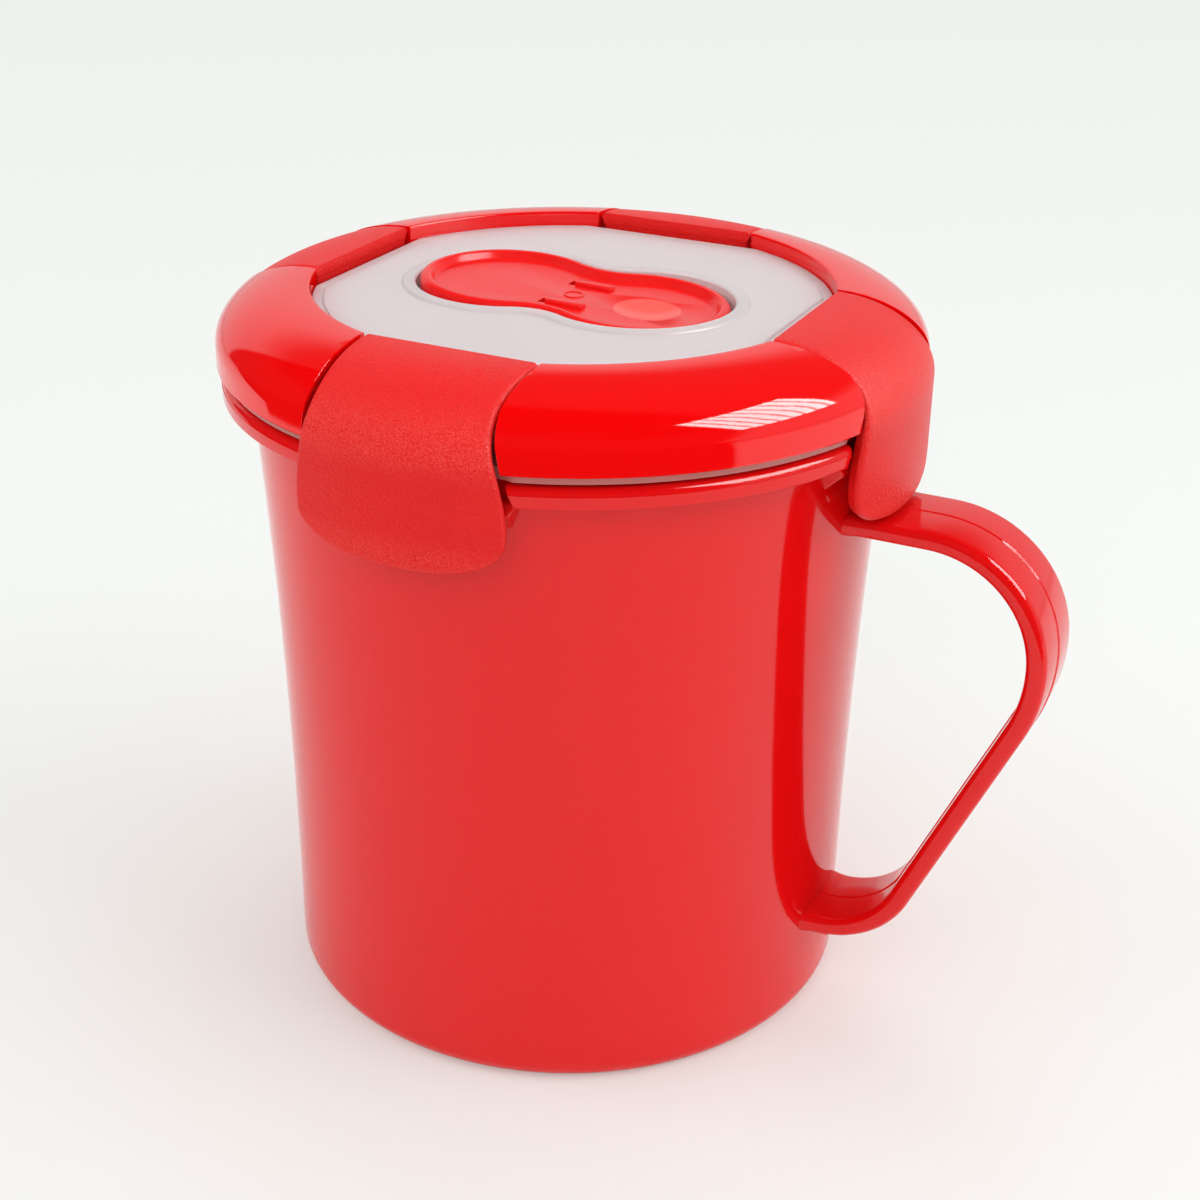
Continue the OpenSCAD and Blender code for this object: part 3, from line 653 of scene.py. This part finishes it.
bpy.ops.object.modifier_apply(modifier=shell.name)
for vert, drop in zip(flap.data.vertices, drops):
    vert.co += drop
for vert in flap.data.vertices[outside_points:]:
    vert.co.x *= 1 - side_draft
soften_edges(flap, 0.45 * mm, 70)

barrel_r = 2.4 * mm
bpy.ops.mesh.primitive_cylinder_add(vertices=48, radius=barrel_r, depth=2 * clip_half - 1.2 * mm,
    location=(0, -hinge_d, hinge_z), rotation=(0, pi / 2, 0))
barrel = bpy.context.object
bpy.ops.object.transform_apply(location=True, rotation=True, scale=True)
soften_edges(barrel, 0.3 * mm)
bpy.ops.mesh.primitive_cube_add(size=1, location=(0, -hinge_d + barrel_r / 2, hinge_z + 0.6 * mm),
    scale=(2 * clip_half - 1.4 * mm, barrel_r - 0.1 * mm, 2.4 * mm))
block = bpy.context.object
bpy.ops.object.transform_apply(location=True, rotation=True, scale=True)
soften_edges(block, 0.2 * mm)
hook_section = [(53.4 * mm, 100.5 * mm), (53.4 * mm, 99.4 * mm), (55.1 * mm, 97.2 * mm),
    (56.2 * mm, 97.2 * mm), (56.2 * mm, 103.0 * mm), (55.1 * mm, 102.0 * mm)]
hook_half = 9 * mm
hook_cuts = [((hook_half, 0, 0), (1, 0, 0)), ((-hook_half, 0, 0), (-1, 0, 0))]
hook = turn_section("hook", hook_section, -90, 26, hook_cuts, 14)
soften_edges(hook, 0.2 * mm, 30, 2)
rib_r, rib_z = clip_out - clip_t - 1.1 * mm, ring_high - clip_t - 1.1 * mm
root_r, root_z = clip_out - clip_t + 0.6 * mm, ring_high - clip_t + 0.4 * mm
rib_section = [(rib_r, flange_high_z)] + dome(ring_in, rib_r, clip_shoulder_z, rib_z, 14)[:-1]
rib_section += [(ring_in + 3 * mm, ring_high - clip_t - 0.9 * mm), (ring_in + 3 * mm, root_z)]
rib_section += list(reversed(dome(ring_in, root_r, clip_shoulder_z, root_z, 14)[:-1]))
rib_section += [(root_r, flange_high_z + mm)]
rib_bearing, rib_sweep = 7.9, 1.25
ribs = [turn_section("rib", rib_section, -90 + side * rib_bearing, rib_sweep, (), 2) for side in (-1, 1)]
clip_front = join("clip_front_flap", [flap, barrel, block, hook] + ribs)

# Moulded polypropylene with a tooled leather grain, red: a dull sheen that hides finger marks.
# The grain's cells are about 0.45 mm across, drawn a little coarser than life so that they show,
# and their tops are painted paler as painted glints, a little everywhere and most over the bend and at the
# finger end.
# The red is painted a touch brighter towards the hinge, as painted light on the clip's upper part.
grained_red, tree = new_material("moulded polypropylene, grained red")
place = add_node(tree, "ShaderNodeTexCoord")
cells = add_node(tree, "ShaderNodeTexVoronoi", None,
    {"Vector": place.outputs["Object"], "Scale": 1 / (0.45 * mm)})
grit = add_node(tree, "ShaderNodeTexNoise", None,
    {"Vector": place.outputs["Object"], "Scale": 1 / (0.18 * mm), "Detail": 1.0})
grain_mix = add_node(tree, "ShaderNodeMath", {"operation": 'MULTIPLY_ADD'},
    {0: cells.outputs["Distance"], 1: 0.7, 2: grit.outputs["Fac"]})
grain = add_node(tree, "ShaderNodeBump", None, {"Strength": 0.9, "Distance": 0.13 * mm,
    "Height": grain_mix.outputs[0]})
mottle = add_node(tree, "ShaderNodeTexNoise", None,
    {"Vector": place.outputs["Object"], "Scale": 1 / (9 * mm), "Detail": 2.0})
tint = add_node(tree, "ShaderNodeMix", {"data_type": 'RGBA'},
    {0: mottle.outputs["Fac"], 6: linear("#DD0B0B"), 7: linear("#E51211")})
height_of = add_node(tree, "ShaderNodeSeparateXYZ", None, {0: place.outputs["Object"]})
# Painted glints: the grain's tops are mixed paler, weakly everywhere and strongly over the bend and at the
# finger end.
over_bend = add_node(tree, "ShaderNodeMapRange", {"interpolation_type": 'SMOOTHSTEP'},
    {0: height_of.outputs["Z"], 1: 106 * mm, 2: 111 * mm})
under_top = add_node(tree, "ShaderNodeMapRange", {"interpolation_type": 'SMOOTHSTEP'},
    {0: height_of.outputs["Z"], 1: 118 * mm, 2: 113 * mm})
at_bend = add_node(tree, "ShaderNodeMath", {"operation": 'MULTIPLY'},
    {0: over_bend.outputs[0], 1: under_top.outputs[0]})
at_finger = add_node(tree, "ShaderNodeMapRange", {"interpolation_type": 'SMOOTHSTEP'},
    {0: height_of.outputs["Z"], 1: 99 * mm, 2: 95 * mm, 4: 0.6})
glint_zones = add_node(tree, "ShaderNodeMath", {"operation": 'MAXIMUM'},
    {0: at_bend.outputs[0], 1: at_finger.outputs[0]})
glint_strength = add_node(tree, "ShaderNodeMapRange", None, {0: glint_zones.outputs[0], 3: 0.08, 4: 0.56})
# Painted light: a brighter red towards the hinge, on the upper part that faces the light.
hinge_top_light = add_node(tree, "ShaderNodeMapRange", {"interpolation_type": 'SMOOTHSTEP'},
    {0: height_of.outputs["Z"], 1: 107 * mm, 2: 115 * mm})
tint = add_node(tree, "ShaderNodeMix", {"data_type": 'RGBA'},
    {0: hinge_top_light.outputs[0], 6: tint.outputs[2], 7: linear("#F01614")})
# The painted glints: the grain's highest tops are mixed towards a pale red.
grain_glints = add_node(tree, "ShaderNodeMapRange", None,
    {0: grit.outputs["Fac"], 1: 0.44, 2: 0.62, 3: 0.0, 4: glint_strength.outputs[0]})
tint = add_node(tree, "ShaderNodeMix", {"data_type": 'RGBA'},
    {0: grain_glints.outputs[0], 6: tint.outputs[2], 7: linear("#FA5A50")})
satin = add_node(tree, "ShaderNodeBsdfPrincipled", None,
    {"Base Color": tint.outputs[2], "Roughness": 0.38, "IOR": 1.49, "Specular IOR Level": 0.27,
    "Normal": grain.outputs["Normal"]})
add_node(tree, "ShaderNodeOutputMaterial", None, {"Surface": satin.outputs["BSDF"]})
paint(clip_front, grained_red)
for quarter, side in enumerate(("front", "right", "back", "left")):
    clip = quarter_copy(clip_front, quarter, "clip_" + side + "_flap") if quarter else clip_front
    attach(clip, "clip_" + side)
    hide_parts("clip_" + side)

# The hinge pins: plain moulded rods, slid through a clip's barrel and held in the ring's cheeks.
# Their solids are already right, so they only get a finish: smooth acetal with fine draw marks.
rod_red, tree = new_material("moulded acetal rod, red")
place = add_node(tree, "ShaderNodeTexCoord")
draw = add_node(tree, "ShaderNodeTexNoise", None,
    {"Vector": place.outputs["Object"], "Scale": 1 / (0.6 * mm), "Detail": 2.0})
tint = add_node(tree, "ShaderNodeMix", {"data_type": 'RGBA'},
    {0: draw.outputs["Fac"], 6: linear("#B81718"), 7: linear("#C41B1C")})
marks = add_node(tree, "ShaderNodeBump", None, {"Strength": 0.1, "Distance": 0.05 * mm,
    "Height": draw.outputs["Fac"]})
slick = add_node(tree, "ShaderNodeBsdfPrincipled", None, {
    "Base Color": tint.outputs[2], "Roughness": 0.3, "IOR": 1.48, "Normal": marks.outputs["Normal"]})
add_node(tree, "ShaderNodeOutputMaterial", None, {"Surface": slick.outputs["BSDF"]})
for side in ("front", "right", "back", "left"):
    for place_in_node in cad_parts["clip_pin_" + side].material_slots:
        place_in_node.material = rod_red

# The vent cap: a dished rocker, moulded in a warm red plastic, that sits in the well on two trunnions.
# It slopes a little towards the handle. A thumb dimple shows where to press,
# and two raised lugs beside slots stiffen the middle.

vent_tilt = 2.4
vent_z = 116.5 * mm
cap_top, cap_h, cap_wall = 2.05 * mm, 3.45 * mm, 1.5 * mm
dish, dish_t = 1.25 * mm, 1.2 * mm
round_top, rim_flat = 1.0 * mm, 0.3 * mm
dish_slope = 1.6 * mm
dish_slope_shares = [(0.0, 0.0), (0.14, 0.03), (0.26, 0.18), (0.46, 0.6), (0.6, 0.86), (0.7, 0.97),
    (0.82, 1.0)]
cap_rings = [(peanut(core), cap_top - dish - dish_t),
    (peanut(-cap_wall - 0.3 * mm), cap_top - dish - dish_t),
    (peanut(-cap_wall), cap_top - dish - dish_t - 0.3 * mm)]
cap_rings += [(peanut(-cap_wall), cap_top - cap_h), (peanut(-0.15 * mm), cap_top - cap_h),
    (peanut(0), cap_top - cap_h + 0.15 * mm)]
cap_rings += [(peanut(r), z) for r, z in bend(-round_top, cap_top - round_top, round_top, 0, 90, 6)]
cap_rings += [(peanut(-round_top - rim_flat - run * dish_slope), cap_top - drop * dish)
              for run, drop in dish_slope_shares]
cap_rings += [(peanut(core), cap_top - dish)]
cap = pull_rings("vent_cap_skin", cap_rings, 320, 40)

dimple_r, dimple_deep, dimple_x = 5.4 * mm, 1.1 * mm, 12.8 * mm
ball_r = (dimple_r ** 2 + dimple_deep ** 2) / (2 * dimple_deep)
bpy.ops.mesh.primitive_uv_sphere_add(segments=160, ring_count=160, radius=ball_r,
    location=(dimple_x, 0, cap_top - dish - dimple_deep + ball_r))
drill(cap, bpy.context.object)
lug_x, lug_y, lug_l, lug_w, lug_h = 1.1 * mm, 5.3 * mm, 6.4 * mm, 2.1 * mm, 0.6 * mm
slot_l, slot_deep = 1.2 * mm, 2.0 * mm
slot_x = lug_x - lug_l / 2 - slot_l / 2
lugs = []
for side in (-1, 1):
    bpy.ops.mesh.primitive_cube_add(size=1, location=(slot_x, side * lug_y, cap_top - dish),
        scale=(slot_l, lug_w, 2 * slot_deep))
    drill(cap, bpy.context.object)
for side in (-1, 1):
    bpy.ops.mesh.primitive_cube_add(size=1, location=(lug_x, side * lug_y, cap_top - dish),
        scale=(lug_l, lug_w, 2 * lug_h))
    lug = bpy.context.object
    bpy.ops.object.transform_apply(location=True, rotation=True, scale=True)
    lugs.append(soften_edges(lug, 0.35 * mm))
gate_r, gate_h = 1.3 * mm, 0.12 * mm
gate_foot_z, gate_top_z = cap_top - dish - 0.1 * mm, cap_top - dish + gate_h
gate = pull_rings("gate_mark", [(gate_r, gate_foot_z), (gate_r + 0.05 * mm, gate_top_z),
    (gate_r + 0.35 * mm, gate_top_z), (gate_r + 0.4 * mm, gate_foot_z), (gate_r, gate_foot_z)], 48)
pick(cap)
bpy.ops.object.shade_smooth_by_angle(angle=radians(35))
vent = join("vent", [cap, gate] + lugs)
vent.data.transform(Matrix.Translation((0, 0, vent_z)) @ Matrix.Rotation(radians(vent_tilt), 4, 'Y'))

boss_r, bung_z, bung_t = 2.9 * mm, 109.8 * mm, 1.6 * mm
boss_top = vent_z + cap_top - dish - 0.6 * mm
boss = pull_rings("boss", [(1.5 * mm, bung_z + bung_t), (boss_r - 0.3 * mm, bung_z + bung_t),
    (boss_r, bung_z + bung_t + 0.3 * mm), (boss_r, boss_top), (1.5 * mm, boss_top)], 64)
boss.data.transform(Matrix.Translation((steam_x, 0, 0)))
trunnion_r, trunnion_l, trunnion_y = 1.2 * mm, 3.0 * mm, 12.0 * mm
trunnions = []
for side in (-1, 1):
    bpy.ops.mesh.primitive_cylinder_add(vertices=40, radius=trunnion_r, depth=trunnion_l,
        location=(0, side * trunnion_y, vent_z), rotation=(pi / 2, 0, 0))
    trunnion = bpy.context.object
    bpy.ops.object.transform_apply(location=True, rotation=True, scale=True)
    trunnions.append(soften_edges(trunnion, 0.2 * mm))
vent = join("vent", [vent, boss] + trunnions)
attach(vent, "vent")
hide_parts("vent_cap")

# Moulded thermoplastic, warm red: brighter and a little pinker than the ring, with a soft gloss.
# The thumb dimple is painted paler, as a painted reflection of the bright room in its hollow.
warm_red, tree = new_material("moulded thermoplastic, warm red")
place = add_node(tree, "ShaderNodeTexCoord")
cloud = add_node(tree, "ShaderNodeTexNoise", None,
    {"Vector": place.outputs["Object"], "Scale": 1 / (8 * mm), "Detail": 2.0})
tint = add_node(tree, "ShaderNodeMix", {"data_type": 'RGBA'},
    {0: cloud.outputs["Fac"], 6: linear("#EC1413"), 7: linear("#F21C1A")})
fine = add_node(tree, "ShaderNodeTexNoise", None,
    {"Vector": place.outputs["Object"], "Scale": 1 / (0.6 * mm), "Detail": 2.0})
skin_bump = add_node(tree, "ShaderNodeBump", None,
    {"Strength": 0.05, "Distance": 0.1 * mm, "Height": fine.outputs["Fac"]})
from_thumb = add_node(tree, "ShaderNodeVectorMath", {"operation": 'SUBTRACT'},
    {0: place.outputs["Object"], 1: (dimple_x, 0, vent_z)})
thumb_reach = add_node(tree, "ShaderNodeVectorMath", {"operation": 'LENGTH'}, {0: from_thumb.outputs[0]})
# Painted reflection: the thumb dimple is mixed towards a pale pink.
dimple_sheen = add_node(tree, "ShaderNodeMapRange", None,
    {0: thumb_reach.outputs["Value"], 1: 5.5 * mm, 2: 5.1 * mm})
tint = add_node(tree, "ShaderNodeMix", {"data_type": 'RGBA'},
    {0: dimple_sheen.outputs[0], 6: tint.outputs[2], 7: linear("#FA6058")})
soft = add_node(tree, "ShaderNodeBsdfPrincipled", None,
    {"Base Color": tint.outputs[2], "Roughness": 0.2, "IOR": 1.5, "Specular IOR Level": 0.26,
    "Normal": skin_bump.outputs["Normal"]})
add_node(tree, "ShaderNodeOutputMaterial", None, {"Surface": soft.outputs["BSDF"]})
paint(vent, warm_red)

# The bung: a silicone disc that closes the steam hole while the cap lies at rest.
# It is moulded in one with the stem that is pressed up into the cap's boss.

bung_r, stem_r = 4.2 * mm, 1.45 * mm
bung = pull_rings("bung", [(1.0 * mm, bung_z), (bung_r - 0.4 * mm, bung_z),
    (bung_r - 0.1 * mm, bung_z + 0.1 * mm), (bung_r, bung_z + 0.4 * mm),
    (bung_r, bung_z + bung_t - 0.3 * mm), (bung_r - 0.3 * mm, bung_z + bung_t), (stem_r, bung_z + bung_t),
    (stem_r, bung_z + 3.1 * mm), (0.5 * mm, bung_z + 3.1 * mm)], 64)
bung.data.transform(Matrix.Translation((steam_x, 0, 0)))
paint(bung, silicone)
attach(bung, "vent")
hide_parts("vent_bung")

# The table: a flat pale sheet, about 0.6 m wide in the gloss, with soft light from
# a big window on the right, a weaker one on the left and the room's own pale walls.
# In the gloss the sheet ends in front and on the left, where the room is dark. The camera sees it even.

bpy.ops.object.select_all(action='DESELECT')
bpy.ops.mesh.primitive_circle_add(vertices=64, radius=6.0, fill_type='NGON')
table = bpy.context.object
table.name = "table"
pale, tree = new_material("pale matt table")
place = add_node(tree, "ShaderNodeTexCoord")
cloud = add_node(tree, "ShaderNodeTexNoise", None, {"Vector": place.outputs["Object"], "Scale": 2.0})
tint = add_node(tree, "ShaderNodeMix", {"data_type": 'RGBA'},
    {0: cloud.outputs["Fac"], 6: linear("#F1F5F3"), 7: linear("#F3F7F5")})
matt = add_node(tree, "ShaderNodeBsdfPrincipled", None,
    {"Base Color": tint.outputs[2], "Roughness": 0.6, "Specular IOR Level": 0.2})
seen_by = add_node(tree, "ShaderNodeLightPath")
table_reach = add_node(tree, "ShaderNodeVectorMath", {"operation": 'LENGTH'}, {0: place.outputs["Object"]})
parts = add_node(tree, "ShaderNodeSeparateXYZ", None, {0: place.outputs["Object"]})
turned = add_node(tree, "ShaderNodeMath", {"operation": 'DIVIDE'},
    {0: parts.outputs["Y"], 1: table_reach.outputs["Value"]})
on_left = add_node(tree, "ShaderNodeMath", {"operation": 'MINIMUM'}, {0: parts.outputs["X"], 1: 0.0})
sheet_reach = add_node(tree, "ShaderNodeMath", {"operation": 'MULTIPLY_ADD'},
    {0: on_left.outputs[0], 1: 0.07, 2: table_reach.outputs["Value"]})
far = add_node(tree, "ShaderNodeMapRange", None, {0: sheet_reach.outputs[0], 1: 312 * mm, 2: 324 * mm})
front_edge = add_node(tree, "ShaderNodeMapRange", None, {0: turned.outputs[0], 1: -0.26, 2: -0.30})
past_side = add_node(tree, "ShaderNodeVectorMath", {"operation": 'DOT_PRODUCT'},
    {0: place.outputs["Object"], 1: (-0.187, -1.0, 0)})
side_edge = add_node(tree, "ShaderNodeMapRange", None,
    {0: past_side.outputs["Value"], 1: 144 * mm, 2: 152 * mm})
bare = add_node(tree, "ShaderNodeMath", {"operation": 'MAXIMUM'},
    {0: front_edge.outputs[0], 1: side_edge.outputs[0]})
sheet_end = add_node(tree, "ShaderNodeMath", {"operation": 'MULTIPLY'},
    {0: far.outputs[0], 1: bare.outputs[0]})
in_gloss = add_node(tree, "ShaderNodeMath", {"operation": 'MULTIPLY'},
    {0: sheet_end.outputs[0], 1: seen_by.outputs["Is Glossy Ray"]})
dark_room = add_node(tree, "ShaderNodeEmission", None, {"Color": linear("#303030")})
sheet = add_node(tree, "ShaderNodeMixShader", None,
    {0: in_gloss.outputs[0], 1: matt.outputs["BSDF"], 2: dark_room.outputs[0]})
evenly_lit = add_node(tree, "ShaderNodeEmission", None, {"Color": linear("#F2F4EF")})
evenness = add_node(tree, "ShaderNodeMapRange", None,
    {0: table_reach.outputs["Value"], 1: 70 * mm, 2: 700 * mm, 3: 0.27, 4: 0.75})
lift = add_node(tree, "ShaderNodeMath", {"operation": 'MULTIPLY'},
    {0: seen_by.outputs["Is Camera Ray"], 1: evenness.outputs[0]})
backdrop = add_node(tree, "ShaderNodeMixShader", None,
    {0: lift.outputs[0], 1: sheet.outputs[0], 2: evenly_lit.outputs[0]})
add_node(tree, "ShaderNodeOutputMaterial", None, {"Surface": backdrop.outputs[0]})
paint(table, pale)


def lamp(name, at, aim, width, height, power, mirrored=True, spread=True, blinds=False):
    """A soft rectangular lamp that looks at a point. It can be kept out of the gloss, or seen only there."""
    light = bpy.data.lights.new(name, 'AREA')
    light.shape = 'RECTANGLE'
    light.size, light.size_y = width, height
    light.energy = power
    holder = bpy.data.objects.new(name, light)
    bpy.context.collection.objects.link(holder)
    if blinds:
        light.use_nodes = True
        glow = light.node_tree.nodes["Emission"]
        across = add_node(light.node_tree, "ShaderNodeNewGeometry")
        slat = add_node(light.node_tree, "ShaderNodeTexWave", {"bands_direction": 'X'},
            {"Vector": across.outputs["Parametric"], "Scale": 2.4, "Distortion": 1.6})
        shade = add_node(light.node_tree, "ShaderNodeMapRange", None,
            {0: slat.outputs["Fac"], 1: 0.04, 2: 0.24, 3: 0.12, 4: 1.0})
        light.node_tree.links.new(shade.outputs[0], glow.inputs["Strength"])
    holder.visible_glossy = mirrored
    holder.visible_diffuse = spread
    holder.location = at
    holder.rotation_euler = (Vector(aim) - Vector(at)).to_track_quat('-Z', 'Y').to_euler()


lamp("window light", (0.93, 0.16, 0.80), (0, 0, 0.06), 1.0, 0.7, 5.0, mirrored=False)
lamp("window in the gloss", (0.887, 0.127, 0.865), (0, 0, 0.1), 0.78, 0.69, 26.0,
     spread=False, blinds=True)
lamp("left fill", (-1.1, -0.5, 0.8), (0, 0, 0.06), 0.9, 0.9, 3.6, mirrored=False)
lamp("front fill", (0.3, -1.25, 1.0), (0, 0, 0.06), 1.0, 0.8, 5.4, mirrored=False)
lamp("top fill", (-0.1, 0.9, 1.5), (0, 0.4, 0.05), 1.6, 1.4, 5.6, mirrored=False)

# The room: pale walls behind and on the right, a dark front and left, and a dim ceiling. Only the gloss
# tells them apart, and everything else is lit evenly.
world = bpy.data.worlds.new("pale room")
bpy.context.scene.world = world
world.use_nodes = True
world.node_tree.nodes.clear()
room = world.node_tree
ray = add_node(room, "ShaderNodeLightPath")
heading_out = add_node(room, "ShaderNodeTexCoord")
to_front = add_node(room, "ShaderNodeVectorMath", {"operation": 'DOT_PRODUCT'},
    {0: heading_out.outputs["Generated"], 1: (0.08, -0.90, 0.42)})
to_ceiling = add_node(room, "ShaderNodeVectorMath", {"operation": 'DOT_PRODUCT'},
    {0: heading_out.outputs["Generated"], 1: (0, 0, 1)})
pale_back = add_node(room, "ShaderNodeMapRange", {"interpolation_type": 'SMOOTHSTEP'},
    {0: to_front.outputs["Value"], 1: 0.26, 2: 0.42, 3: 1.0, 4: 0.08})
to_left = add_node(room, "ShaderNodeVectorMath", {"operation": 'DOT_PRODUCT'},
    {0: heading_out.outputs["Generated"], 1: (-0.342, -0.940, 0)})
back_wall = add_node(room, "ShaderNodeMapRange", {"interpolation_type": 'SMOOTHSTEP'},
    {0: to_left.outputs["Value"], 1: 0.01, 2: 0.06, 3: 1.0, 4: 0.08})
pale_back = add_node(room, "ShaderNodeMath", {"operation": 'MINIMUM'},
    {0: pale_back.outputs[0], 1: back_wall.outputs[0]})
dim_ceiling = add_node(room, "ShaderNodeMapRange", {"interpolation_type": 'SMOOTHSTEP'},
    {0: to_ceiling.outputs["Value"], 1: 0.4, 2: 0.62, 3: 0.72, 4: 0.12})
room_in_gloss = add_node(room, "ShaderNodeMath", {"operation": 'MULTIPLY'},
    {0: pale_back.outputs[0], 1: dim_ceiling.outputs[0]})
in_mirror = add_node(room, "ShaderNodeMath", {"operation": 'MAXIMUM'},
    {0: ray.outputs["Is Glossy Ray"], 1: ray.outputs["Is Transmission Ray"]})
level = add_node(room, "ShaderNodeMix", None, {0: in_mirror.outputs[0], 2: 0.62, 3: room_in_gloss.outputs[0]})
seen_level = add_node(room, "ShaderNodeMix", None,
    {0: ray.outputs["Is Camera Ray"], 2: level.outputs[0], 3: 0.88})
sky = add_node(room, "ShaderNodeBackground", None, {"Color": (1, 1, 1, 1), "Strength": seen_level.outputs[0]})
add_node(room, "ShaderNodeOutputWorld", None, {"Surface": sky.outputs["Background"]})

# The camera, where the photograph was taken from.

camera_at = Vector((134.70, -270.30, 208.48)) * mm
heading, pitch, roll = radians(25.56), radians(25.61), radians(0.89)
look = Vector((-sin(heading) * cos(pitch), cos(heading) * cos(pitch), -sin(pitch)))
right = Vector((cos(heading), sin(heading), 0))
up = right.cross(look)
right, up = cos(roll) * right + sin(roll) * up, cos(roll) * up - sin(roll) * right
camera_data = bpy.data.cameras.new("camera")
camera_data.sensor_width = 36.0
camera_data.lens = 59.06
camera_data.clip_start = 0.01
camera = bpy.data.objects.new("camera", camera_data)
bpy.context.collection.objects.link(camera)
camera.matrix_world = Matrix((right, up, -look)).transposed().to_4x4()
camera.location = camera_at
bpy.context.scene.camera = camera
bpy.context.scene.view_settings.view_transform = 'Standard'
